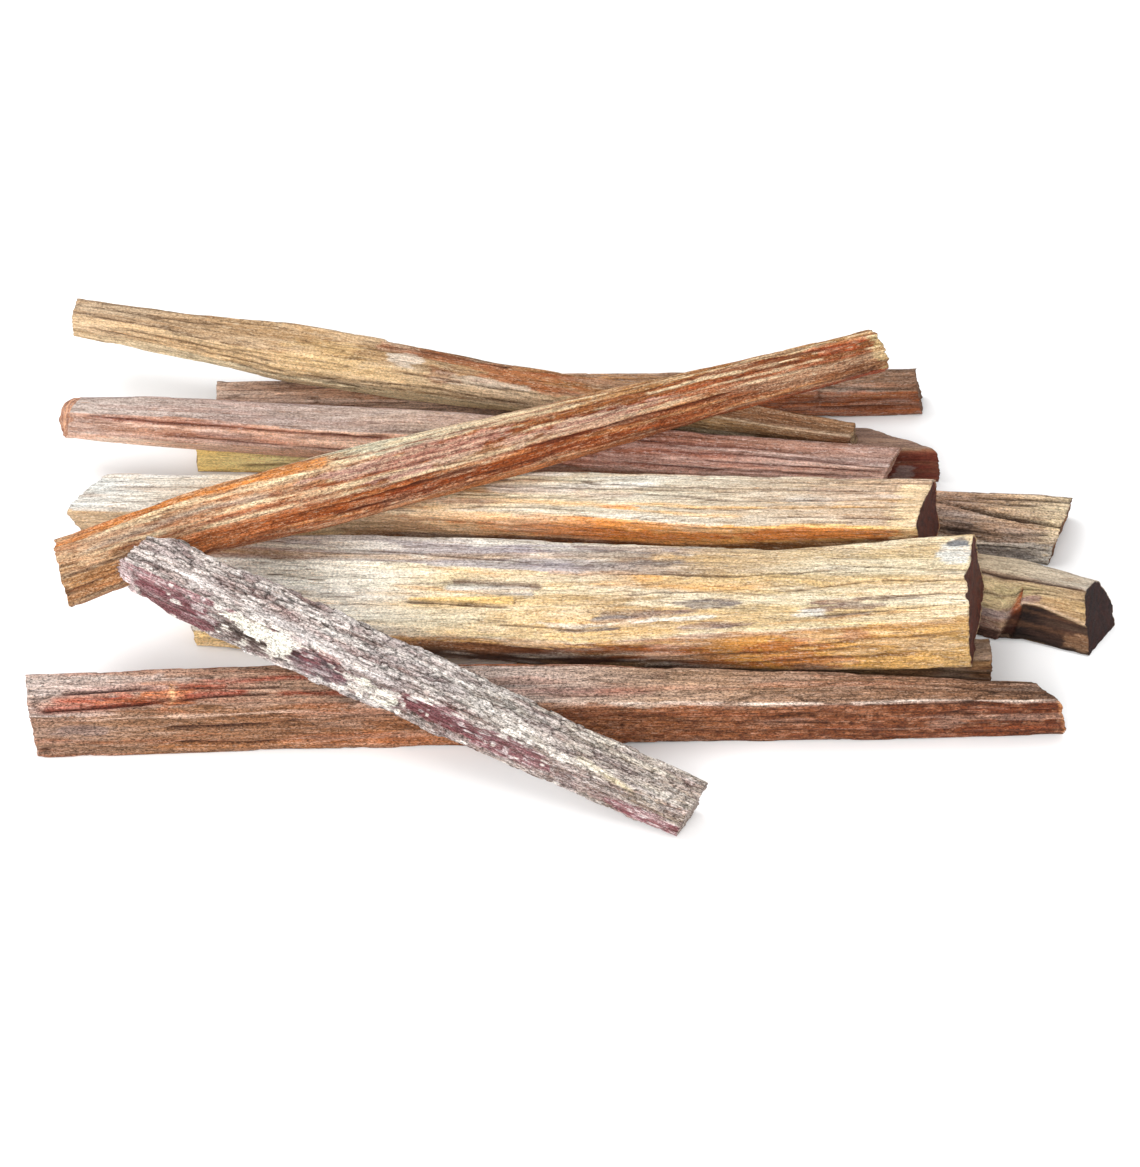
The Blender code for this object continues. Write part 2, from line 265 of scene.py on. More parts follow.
class Fine:
    """The fine grid of one stick before it becomes a mesh; rows run along it and columns round it.

    A facet is the way it faces at the left and right end, in degrees from the back over the top, and its
    colours along the stick, each after its place t."""

    def __init__(self, node, step_along, step_round, seed, facets):
        self.node, self.facets, self.seed = node, facets, seed
        self.shape = measure(node)
        coarse = np.linspace(0, 1, COARSE_STATIONS)
        corners_only = np.arange(len(facets) + 1, dtype=float)
        self.widths = np.mean([facet_columns(self.shape, facets, t, corners_only)[1] for t in coarse[::6]],
                              axis=0)
        counts = []
        for facet, width in zip(facets, self.widths):
            hidden = UNDERSIDE[0] < facet[0] % 360 < UNDERSIDE[1]
            counts.append(max(3, round(width / (step_round * (HIDDEN_SPACING if hidden else 1)))))
        counts[0] += -sum(counts) % COLUMN_MULTIPLE
        shares = np.concatenate([i + np.arange(n) / n for i, n in enumerate(counts)])
        rings = np.array([facet_columns(self.shape, facets, t, shares)[0] for t in coarse])
        self.length = self.shape["ends"][1][0] - self.shape["ends"][0][0]
        self.rows, self.columns = round(self.length / step_along) + 1, len(shares)
        t = np.linspace(0, 1, self.rows)
        place = t * (COARSE_STATIONS - 1)
        low = np.minimum(place.astype(int), COARSE_STATIONS - 2)
        part = (place - low)[:, None, None]
        grid = rings[low] * (1 - part) + rings[low + 1] * part
        self.t = np.repeat(t[:, None], self.columns, axis=1)
        self.w = np.repeat(shares[None, :], self.rows, axis=0)
        self.a, self.b = grid[:, :, 0], grid[:, :, 1]
        self.s0, self.cut_a, self.cut_b = axis_place(self.shape, self.t)
        self.s = self.s0 + self.cut_a * self.a + self.cut_b * self.b
        self.set_outward()
        self.fall = np.zeros_like(self.a)      # how far each point has been moved inwards
        self.dark = np.zeros_like(self.a)      # where a crack or a torn edge gets painted shade
        self.fresh = np.zeros_like(self.a)     # how much of the fall is a torn place, which isn't darker
        self.bites = [[], []]

    def set_outward(self):
        """Each point's outward direction in its section, and how far it is from the nearest arris."""
        da = np.roll(self.a, -1, 1) - np.roll(self.a, 1, 1)
        db = np.roll(self.b, -1, 1) - np.roll(self.b, 1, 1)
        size = np.maximum(np.hypot(da, db), 1e-9)
        self.out_a, self.out_b = -db / size, da / size
        flip = np.sign((self.out_a * self.a + self.out_b * self.b).mean())
        self.out_a, self.out_b = self.out_a * flip, self.out_b * flip
        steps = np.hypot(np.roll(self.a, -1, 1) - self.a, np.roll(self.b, -1, 1) - self.b)
        self.arc = np.cumsum(steps, axis=1) - steps
        self.girth = steps.sum(1)
        self.arris = np.full_like(self.a, 99.0)
        facet = np.floor(self.w[0]).astype(int)
        for i in range(len(self.facets)):
            first = int(np.argmax(facet == i))
            gap = np.abs(self.arc - self.arc[:, first:first + 1])
            self.arris = np.minimum(self.arris, np.minimum(gap, self.girth[:, None] - gap))

    # shape

    def points(self):
        """The places of all points for noise: fibres wander a little from side to side on their way."""
        drift = noise((self.s, self.a, self.b), 55, 9, self.seed + 90) * 1.1
        return (self.s, self.a + drift, self.b + 0.7 * drift)

    def noise(self, along, across, seed):
        """Noise that follows the stick's fibres."""
        return noise(self.points(), along, across, seed)

    def only_along(self, along, seed, place=0.0):
        """Noise that is the same all round the stick."""
        return noise((self.s, np.full_like(self.s, place), np.zeros_like(self.s)), along, 3, self.seed + seed)

    def sink(self, depth):
        """Moves the surface in, or out where depth is below zero."""
        self.fall = self.fall + depth

    def stripe(self, t0, t1, w0, w1, width, wander, seed):
        """A wandering line along the fibres from (t0, w0) to (t1, w1): 1 in its middle, falling to 0 at its
        edges, width mm to either side, and at its two ends."""
        share = np.clip((self.t - t0) / (t1 - t0), 0, 1)
        facet_width = self.widths[np.clip(((w0 + w1) / 2), 0, len(self.widths) - 1).astype(int)]
        bend = self.only_along(16, seed, seed * 7.3) + 0.3 * self.only_along(3.5, seed + 1, seed * 3.1)
        off = (self.w - mix(w0, w1, share)) * facet_width + wander * bend
        edge = 0.12 * abs(t1 - t0)
        fade = ramp(self.t, t0, t0 + edge) * (1 - ramp(self.t, t1 - edge, t1))
        pinch = 0.7 + 0.3 * self.only_along(7, seed + 2)
        return fade * line(off, width * pinch)

    def crack(self, t0, t1, w0, w1, depth, width, wander, seed):
        """An open crack along the fibres, marked for the painted shade that finish_tint lays in it."""
        mask = self.stripe(t0, t1, w0, w1, width, wander, seed) ** 0.7
        self.sink(depth * mask)
        self.dark = np.maximum(self.dark, mask)

    def cracks(self, *cracks):
        """Open cracks, each given as crack() takes it."""
        for crack in cracks:
            self.crack(*crack)

    def torn(self, t0, t1, w0, w1, depth, ragged, seed, shade=0.8):
        """A layer torn off between t0 and t1, with ragged ends and long edges; its upper edge is marked for a
        painted shadow line.
        """
        p = (self.s, self.a, self.b)
        t = self.t + noise(p, 5, 0.9, self.seed + seed + 5) * ragged / self.length
        w = self.w + noise(p, 22, 50, self.seed + seed + 6) * 0.05
        sharp = 0.035
        lengthways = ramp(t, t0 - 0.0015, t0 + 0.0015) * (1 - ramp(t, t1 - 0.002, t1 + 0.002))
        mask = lengthways * (ramp(w, w0 - sharp, w0 + sharp) * (1 - ramp(w, w1 - sharp, w1 + sharp)))
        self.cut_fresh(depth * mask)
        self.dark = np.maximum(self.dark, shade * (line(w - w1, 0.05) * lengthways))
        return mask

    def cut_fresh(self, depth):
        """Takes away wood that leaves a clean face, or adds it where depth is below zero."""
        self.sink(depth)
        self.fresh += depth

    def ribs(self, w0, w1, spacing, depth, t0, t1, seed):
        """Lengthwise ribs between w0 and w1; what comes back is 1 on their tops and 0 in the grooves."""
        p = self.points()
        phase = (self.round_mm() / spacing + 0.9 * noise(p, 60, 6, self.seed + seed)
                 + 0.18 * noise(p, 9, 2, self.seed + seed + 1))
        top = (0.5 + 0.5 * np.cos(phase * math.tau)) ** 0.8
        inside = ramp(self.w, w0 - 0.1, w0 + 0.1) * (1 - ramp(self.w, w1 - 0.1, w1 + 0.1))
        inside = inside * ramp(self.t, t0 - 0.06, t0 + 0.06) * (1 - ramp(self.t, t1 - 0.06, t1 + 0.06))
        uneven = 0.6 + 0.4 * noise(p, 30, 2.5, self.seed + seed + 2)
        self.sink(depth * (0.5 - top) * inside * uneven)
        return top, inside

    def round_mm(self):
        """How far each point is round the stick, in mm, the same all along a column."""
        borders = np.concatenate([[0], np.cumsum(self.widths)])
        return np.interp(self.w, np.arange(len(borders)), borders)

    def weather(self, fibre=0.16, groove=0.35, layer=0.4, strip=0.22):
        """What splitting and drying leave everywhere: fibres, sharp grooves, thin layers, strips that stand
        at slightly different heights, and worn arrises. Each number is how deep that goes, in mm."""
        p = self.points()
        seed = self.seed
        self.rough = noise(p, 18, 1.25, seed + 1) * 0.50 + noise(p, 8.0, 0.66, seed + 2) * 0.50
        deep = line(noise(p, 42, 2.6, seed + 3), 0.085) ** 1.5
        deep = deep * ramp(noise(p, 60, 7, seed + 4), -0.35, 0.35)
        shallow = line(noise(p, 15, 1.5, seed + 5), 0.10) ** 1.5
        level = noise(p, 75, 5.5, seed + 6) * 2.4 + noise(p, 7, 1.2, seed + 7) * 0.10
        terrace = np.floor(level) + ramp(level - np.floor(level), 0.40, 0.52)
        worn = np.exp(-self.arris / 0.9) * ramp(noise(p, 8, 4, seed + 8), -0.1, 0.5)
        p = (self.s, self.a, self.b)
        u = self.s / 14 + 0.25 * noise(p, 3, 1.0, seed + 60)
        v = self.round_mm() / 1.15 + 0.3 * noise(p, 14, 3, seed + 61)
        edge, self.strip = plates(u, v, seed + 62)
        self.sink(strip * (0.5 - self.strip) + 0.10 * np.clip(1 - edge / 0.16, 0, 1))
        self.deep = np.maximum(np.maximum(deep, 0.6 * shallow), 0.5 * line(edge, 0.10))
        self.sink(-fibre * self.rough + groove * (deep + 0.5 * shallow) - layer * 0.5 * (terrace + 0.5)
                  + 0.35 * worn)

    def bite(self, side, w, depth, width, reach=5.0):
        """A piece missing from the rim of one end, or standing out from it where depth is below zero."""
        self.bites[side].append((w, depth, width, reach))

    def settle(self, ragged=(0.5, 0.5), proud=0.25, deepest=1.9, fray=0.09):
        """Moves every point to its place, ragged ends included, and gives it its facet's colour. The surface
        stays close to the CAD stick's, so that neighbours still touch without cutting in."""
        self.fall = np.clip(self.fall - self.fall.mean() * LEVELLING, -proud, deepest)
        self.a = self.a - self.out_a * self.fall
        self.b = self.b - self.out_b * self.fall
        self.s = self.s0 + self.cut_a * self.a + self.cut_b * self.b
        self.ragged = ragged
        for side in (0, 1):
            gap = (self.t if side == 0 else 1 - self.t) * self.length
            fade = np.clip(1 - gap / RIM_DEPTH, 0, 1) ** 2
            self.s = self.s + fade * self.end_relief(side, self.a, self.b)
            for w, depth, width, reach in self.bites[side]:
                around = np.abs(self.w - w)
                around = np.minimum(around, len(self.facets) - around)
                hollow = depth * np.exp(-(around / width) ** 2) * np.clip(1 - gap / reach, 0, 1)
                self.s = self.s + hollow * (1 if side == 0 else -1)
        self.facet_tint(fray)

    def end_relief(self, side, a, b):
        """How far broken fibres stand in (to the right on the left end) at a place on an end."""
        flat = (np.full_like(a, 3.0 + 50 * side), a, b)
        jag = noise(flat, 9, 1.1, self.seed + 20) * 0.5 + noise(flat, 9, 0.5, self.seed + 21) * 0.35
        jag = jag + noise(flat, 9, 3.2, self.seed + 22) * 0.6 + 0.35
        return self.ragged[side] * jag * (1 if side == 0 else -1)

    def place(self, s, a, b):
        """Points inside the stick as points of the model, in mm."""
        along, across, up = self.shape["axes"]
        return self.shape["middle"] + s[..., None] * along + a[..., None] * across + b[..., None] * up

    # colour

    def facet_tint(self, fray):
        """Each facet's own colours along the stick, with the borders between facets frayed by the grain."""
        p = self.points()
        w = self.w + fray * noise(p, 14, 1.2, self.seed + 40)
        facet = np.floor(w).astype(int) % len(self.facets)
        t = self.t + 0.03 * noise(p, 26, 1.6, self.seed + 41)
        self.colour = np.zeros(t.shape + (3,))
        for i, (_, _, *stops) in enumerate(self.facets):
            mine = facet == i
            places = [stop[0] for stop in stops]
            colours = np.array([seen(*stop[1:]) for stop in stops])
            for channel in range(3):
                self.colour[mine, channel] = np.interp(t[mine], places, colours[:, channel])

    def blot(self, t, w, half_t, half_w, ragged, grain, seed):
        """A patch with frayed edges round (t, w), reaching half_t along the stick and half_w round it."""
        count = len(self.facets)
        around = (self.w - w + count / 2) % count - count / 2
        reach = np.hypot((self.t - t) / half_t, around / half_w)
        p = self.points()
        frayed = noise(p, *grain, self.seed + 50 + seed) + 0.6 * noise(p, 2.6, 0.7, self.seed + 80 + seed)
        return 1 - ramp(reach + ragged * frayed, 0.84, 1.04)

    def paint(self, colour, share):
        """Lays a colour over the stick, as much as share says at each point."""
        self.colour = self.colour + (seen(*colour) - self.colour) * np.asarray(share)[..., None]

    def streak(self, colour, share, *stripe):
        """Paints a stripe."""
        self.paint(colour, share * self.stripe(*stripe))

    def patch(self, colour, share, *blot):
        """Paints a blot."""
        self.paint(colour, share * self.blot(*blot))

    def finish_tint(self, streak, streak_share, pale, pale_share, contrast=1.0, gloom=(*BLACKISH, 0.7)):
        """What every stick has: coloured streaks, pale weathered wood on the ridges, grooves and hollows
        darkened as painted shade, painted shade in cracks and along torn edges, and pale arrises that are
        partly worn wood, partly painted highlight.
        """
        p = self.points()
        seed = self.seed
        long_streak = ramp(noise(p, 36, 1.5, seed + 42) + 0.5 * noise(p, 12, 0.7, seed + 43), 0.12, 0.50)
        self.paint(streak, streak_share * long_streak)
        blotch = noise(p, 20, 3.0, seed + 44) + 0.6 * noise(p, 8, 0.9, seed + 48) + 0.5 * self.rough
        self.paint(pale, pale_share * ramp(blotch, 0.05, 0.75))
        value = 1 + contrast * (0.10 * noise(p, 26, 1.8, seed + 45) + 0.09 * noise(p, 8, 0.8, seed + 46)
                                + 0.08 * self.rough + 0.16 * (self.strip - 0.5))
        # painted shade: grooves, and places sunk below the surface except torn faces, are darker and deeper
        # in colour
        value = value * (1 - contrast * 0.60 * self.deep)
        depth = np.clip((self.fall - self.fresh) / 0.9, 0, 1.2)
        value = value * (1 - 0.28 * contrast * depth)
        self.colour = self.colour ** (1 + 0.18 * depth[..., None]) * value[..., None]
        # the arrises get the pale colour: partly worn wood, partly painted highlight
        self.paint(pale, 0.35 * (np.exp(-self.arris / 0.5) * ramp(noise(p, 12, 3, seed + 47), -0.4, 0.6)))
        # painted shade in open cracks and along the upper edges of torn layers
        self.paint(gloom, 0.88 * self.dark ** 1.2)


RING_SHARES = (0.95, 0.86, 0.75, 0.62, 0.48, 0.32, 0.16)
RING_HALVED = (False, True, False, True, False, True, True)    # has half the points of the ring outside it


def end_cap(fine, side, first):
    """The points and faces of one end: rings that close in on its middle and get coarser on the way."""
    row = 0 if side == 0 else -1
    rim_a, rim_b = fine.a[row], fine.b[row]
    mid_a, mid_b = rim_a.mean(), rim_b.mean()

    def on_end(a, b):
        return fine.s0[row, 0] + fine.cut_a[row, 0] * a + fine.cut_b[row, 0] * b + fine.end_relief(side, a, b)

    rim_rest = fine.s[row] - on_end(rim_a, rim_b)
    s, a, b, quads, triangles = [], [], [], [], []
    outer = np.arange(fine.columns) + (0 if side == 0 else (fine.rows - 1) * fine.columns)
    pick = np.arange(fine.columns)
    used = first
    for share, halved in zip(RING_SHARES, RING_HALVED):
        if halved:
            pick = pick[::2]
        ring_a = mid_a + (rim_a[pick] - mid_a) * share
        ring_b = mid_b + (rim_b[pick] - mid_b) * share
        s.append(on_end(ring_a, ring_b) + rim_rest[pick] * share ** 3)
        a.append(ring_a)
        b.append(ring_b)
        inner = used + np.arange(len(pick))
        used += len(pick)
        beyond = np.roll(inner, -1)
        if halved:
            even, odd, then = outer[0::2], outer[1::2], np.roll(outer[0::2], -1)
            for corners in ((even, odd, inner), (odd, then, beyond), (odd, beyond, inner)):
                triangles.append(np.stack(corners, 1))
        else:
            quads.append(np.stack([outer, np.roll(outer, -1), beyond, inner], 1))
        outer = inner
    triangles.append(np.stack([outer, np.roll(outer, -1), np.full_like(outer, used)], 1))
    a.append(np.array([mid_a]))
    b.append(np.array([mid_b]))
    s.append(on_end(a[-1], b[-1]))
    quads, triangles = np.concatenate(quads), np.concatenate(triangles)
    if side == 1:
        quads, triangles = quads[:, ::-1], triangles[:, ::-1]
    return np.concatenate(s), np.concatenate(a), np.concatenate(b), quads, triangles


def make_piece(fine, name, end_colours):
    """The finished mesh, with its colours, its grain places and a map of its surface to bake onto."""
    rows, columns = fine.rows, fine.columns
    count = rows * columns
    index = np.arange(count).reshape(rows, columns)
    beyond = np.roll(index, -1, axis=1)
    side_quads = np.stack([index[:-1], index[1:], beyond[1:], beyond[:-1]], -1).reshape(-1, 4)
    left = end_cap(fine, 0, count)
    right = end_cap(fine, 1, count + len(left[0]))
    s, a, b = [np.concatenate([grid.ravel(), left[i], right[i]])
               for i, grid in enumerate((fine.s, fine.a, fine.b))]
    co = fine.place(s, a, b)
    co[:, 2] = np.maximum(co[:, 2], 0.0)
    quads = np.concatenate([side_quads, left[3], right[3]])
    triangles = np.concatenate([left[4], right[4]])
    top = co[side_quads[np.argmax(co[side_quads, 2].mean(1))]]
    if np.cross(top[2] - top[0], top[3] - top[1])[2] < 0:
        quads, triangles = quads[:, ::-1], triangles[:, ::-1]

    mesh = bpy.data.meshes.new(name)
    mesh.vertices.add(len(co))
    mesh.vertices.foreach_set("co", (co * MM).astype(np.float32).ravel())
    corners = np.concatenate([quads.ravel(), triangles.ravel()])
    mesh.loops.add(len(corners))
    mesh.loops.foreach_set("vertex_index", corners.astype(np.int32))
    starts = np.concatenate([np.arange(len(quads)) * 4, len(quads) * 4 + np.arange(len(triangles)) * 3])
    mesh.polygons.add(len(starts))
    mesh.polygons.foreach_set("loop_start", starts.astype(np.int32))
    mesh.update(calc_edges=True)
    mesh.validate()
    mesh.shade_smooth()

    flat = np.zeros((len(co), 2))
    flat[:count, 0] = MAP_SIDE[0] + MAP_SIDE[1] * fine.t.ravel()
    flat[:count, 1] = MAP_SIDE[2] + MAP_SIDE[3] * np.tile(fine.arc.mean(0) / fine.girth.mean(), rows)
    uv = flat[corners]
    wrapped = corners[:side_quads.size].reshape(-1, 4) % columns
    at_seam = (wrapped == 0) & (wrapped.max(1) == columns - 1)[:, None]
    uv[:side_quads.size][at_seam.ravel(), 1] = MAP_SIDE[2] + MAP_SIDE[3]
    owner = np.repeat((-1, 0, 1, 0, 1), (side_quads.size, left[3].size, right[3].size, left[4].size,
                                         right[4].size))
    biggest = max(np.abs(a).max(), np.abs(b).max())
    for side, cap in enumerate((left, right)):
        own = corners[owner == side]
        for axis, value in enumerate((a, b)):
            from_middle = (value[own] - cap[1 + axis].mean()) / biggest
            uv[owner == side, axis] = MAP_ENDS[side][axis] + MAP_END_RADIUS * from_middle
    mesh.uv_layers.new(name="OFBake").data.foreach_set("uv", uv.astype(np.float32).ravel())

    drifted = np.concatenate([fine.points()[1].ravel(), left[1], right[1]])
    grain = np.stack([s, drifted, b], 1).astype(np.float32)
    mesh.attributes.new("grain", "FLOAT_VECTOR", "POINT").data.foreach_set("vector", grain.ravel())
    tints = [end_tint(fine, side, cap[1], cap[2], *end_colours[side])
             for side, cap in enumerate((left, right))]
    rgba = np.ones((len(co), 4), np.float32)
    rgba[:, :3] = np.clip(np.concatenate([fine.colour.reshape(-1, 3), *tints]), 0, 1)
    mesh.attributes.new("tint", "FLOAT_COLOR", "POINT").data.foreach_set("color", rgba.ravel())
    return mesh


def end_tint(fine, side, a, b, main, other):
    """Growth rings and broken fibres across an end: two wood colours in curved bands, and darker pits."""
    reach = np.hypot(a - HEART[0], b - HEART[1])
    flat = (np.full_like(a, 7.0 + side), a, b)
    wave = reach * math.tau / RING_SPACING + 1.6 * noise(flat, 9, 3.5, fine.seed + 30)
    bands = 0.5 + 0.5 * np.sin(wave)
    share = np.clip(0.75 * bands + 0.4 * noise(flat, 9, 1.4, fine.seed + 31), 0, 1)[:, None]
    colour = seen(*main) * (1 - share) + seen(*other) * share
    return colour * (1 + 0.22 * noise(flat, 9, 0.55, fine.seed + 32))[:, None]


# ---- material -------------------------------------------------------------------------------------------

def wood_material(name, roughness, speck, fleck, hairline=0.46, dark_line=0.85, grit=0.36, fuzz=0.6,
                  shade=0.28):
    """Split wood: the tint of each place, with fibres, fine dark lines, pale flecks and dark specks."""
    material = bpy.data.materials.new(name)
    material.use_nodes = True
    nodes, links = material.node_tree.nodes, material.node_tree.links
    shader = nodes["Principled BSDF"]

    def add(kind, inputs=(), **settings):
        """A new node; an input is linked if it is given another node's socket, and set if a value."""
        node = nodes.new(kind)
        for key, value in settings.items():
            setattr(node, key, value)
        for key, value in dict(inputs).items():
            if isinstance(value, bpy.types.NodeSocket):
                links.new(value, node.inputs[key])
            else:
                node.inputs[key].default_value = value
        return node

    def attribute(label, output):
        return add("ShaderNodeAttribute", attribute_name=label).outputs[output]

    def in_grain(kind, scale, place=(0.0, 0.0, 0.0), **inputs):
        moved = add("ShaderNodeMapping", {"Vector": grain, "Scale": scale, "Location": place})
        return add(kind, {"Vector": moved.outputs["Vector"], "Scale": 1.0, **inputs})

    def grainy(scale, detail, rough=0.55, place=(0.0, 0.0, 0.0)):
        return in_grain("ShaderNodeTexNoise", scale, place, Detail=detail, Roughness=rough).outputs["Fac"]

    def strips(scale):
        cells = in_grain("ShaderNodeTexVoronoi", scale)
        return add("ShaderNodeSeparateColor", {"Color": cells.outputs["Color"]}).outputs["Red"]

    def shades(value, stops):
        node = add("ShaderNodeValToRGB", {"Fac": value})
        elements = node.color_ramp.elements
        while len(elements) < len(stops):
            elements.new(0.5)
        for element, (place, colour) in zip(elements, stops):
            element.position = place
            element.color = (*colour, 1.0)
        return node.outputs["Color"]

    def times(x, y):
        return add("ShaderNodeVectorMath", {0: x, 1: y}, operation="MULTIPLY").outputs["Vector"]

    def scaled(x, factor):
        return add("ShaderNodeVectorMath", {0: x, "Scale": factor}, operation="SCALE").outputs["Vector"]

    def mixed(x, paint, share):
        inputs = {"Factor": share, "A": x, "B": (*seen(*paint), 1.0)}
        return add("ShaderNodeMix", inputs, data_type="RGBA").outputs["Result"]

    def number(x, low, high, out_low, out_high):
        limits = {"From Min": low, "From Max": high, "To Min": out_low, "To Max": out_high}
        return add("ShaderNodeMapRange", {"Value": x, **limits}).outputs["Result"]

    def maths(operation, x, y):
        return add("ShaderNodeMath", {0: x, 1: y}, operation=operation).outputs["Value"]

    def thin_lines(value, middle, width, most):
        """Lines where a noise passes its middle value."""
        return number(maths("ABSOLUTE", maths("SUBTRACT", value, middle), 0.0), 0.0, width, most, 0.0)

    grain = attribute("grain", "Vector")
    tint = attribute("tint", "Color")
    fibre = grainy((0.075, 1.6, 1.6), 4.0)
    hair = grainy((0.26, 3.8, 3.8), 4.0, 0.65)
    vein = grainy((0.035, 0.95, 0.95), 3.0)
    thin_vein = grainy((0.08, 1.8, 1.8), 3.0, place=(5.0, 11.0, 17.0))
    thread = grainy((0.11, 1.25, 1.25), 3.0, place=(31.0, 7.0, 3.0))
    spot = grainy((1.7, 3.0, 3.0), 3.0, 0.7)
    flake = grainy((0.45, 1.4, 1.4), 5.0, 0.7)
    broad, narrow = strips((0.08, 1.6, 1.6)), strips((0.15, 3.0, 3.0))

    colour = times(tint, shades(fibre, [(0.28, (1 - shade, 1 - 1.19 * shade, 1 - 1.34 * shade)),
                                        (0.44, (0.86, 0.86, 0.86)), (0.70, (0.95, 0.96, 0.97))]))
    hair_shades = shades(hair, [(0.31, (hairline, hairline * 0.80, hairline * 0.66)),
                                (0.44, (0.86, 0.86, 0.86)), (0.66, (0.99, 0.99, 0.99))])
    colour = times(scaled(colour, 1.20), hair_shades)
    value = maths("MULTIPLY", number(broad, 0.0, 1.0, 0.90, 1.10), number(narrow, 0.0, 1.0, 0.90, 1.10))
    value = maths("MULTIPLY", value, number(spot, 0.30, 0.70, 1.0 - grit, 1.0 + grit))
    colour = scaled(scaled(colour, 1.04), value)
    crack = maths("MULTIPLY", thin_lines(vein, 0.5, 0.024, 1.0), number(fibre, 0.42, 0.60, dark_line, 0.0))
    thin_crack = maths("MULTIPLY", thin_lines(thin_vein, 0.5, 0.018, 0.7),
                       number(hair, 0.40, 0.56, dark_line, 0.1))
    crack = maths("MAXIMUM", crack, thin_crack)
    colour = mixed(colour, speck, crack)
    pale = maths("MULTIPLY", number(flake, 0.54, 0.66, 0.0, fuzz), number(hair, 0.46, 0.58, 0.0, 1.0))
    stray = maths("MULTIPLY", thin_lines(thread, 0.52, 0.030, fuzz), number(spot, 0.46, 0.56, 0.0, 1.0))
    bright = add("ShaderNodeRGBToBW", {"Color": tint}).outputs["Val"]
    pale = maths("MULTIPLY", maths("MAXIMUM", pale, stray), number(bright, 0.04, 0.16, 0.0, 1.0))
    colour = mixed(colour, fleck, pale)
    dots = maths("MULTIPLY", number(spot, 0.36, 0.29, 0.0, 0.75), number(flake, 0.52, 0.42, 0.0, 1.0))
    colour = mixed(colour, speck, dots)
    links.new(colour, shader.inputs["Base Color"])
    links.new(number(hair, 0.3, 0.7, roughness + 0.12, roughness - 0.10), shader.inputs["Roughness"])
    shader.inputs["Specular IOR Level"].default_value = 0.18

    height = maths("ADD", maths("MULTIPLY", fibre, 0.5), maths("MULTIPLY", hair, 0.7))
    for operation, relief, amount in (("ADD", broad, 0.35), ("ADD", narrow, 0.2), ("SUBTRACT", crack, 0.7),
                                      ("SUBTRACT", dots, 0.4)):
        height = maths(operation, height, maths("MULTIPLY", relief, amount))
    bumped = add("ShaderNodeBump", {"Strength": 0.6, "Distance": 0.0005, "Height": height})
    links.new(bumped.outputs["Normal"], shader.inputs["Normal"])
    return material


def put(name, data):
    """A new object in the scene."""
    thing = bpy.data.objects.new(name, data)
    bpy.context.scene.collection.objects.link(thing)
    return thing


def finish_stick(fine, name, slot, end_colours, **wood):
    """Turns the fine stick into a piece that stands for its CAD node."""
    mesh = make_piece(fine, name, end_colours)
    mesh.materials.append(wood_material(slot + "_grain", **wood))
    piece = put(name, mesh)
    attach(piece, "root")
    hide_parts(fine.node)
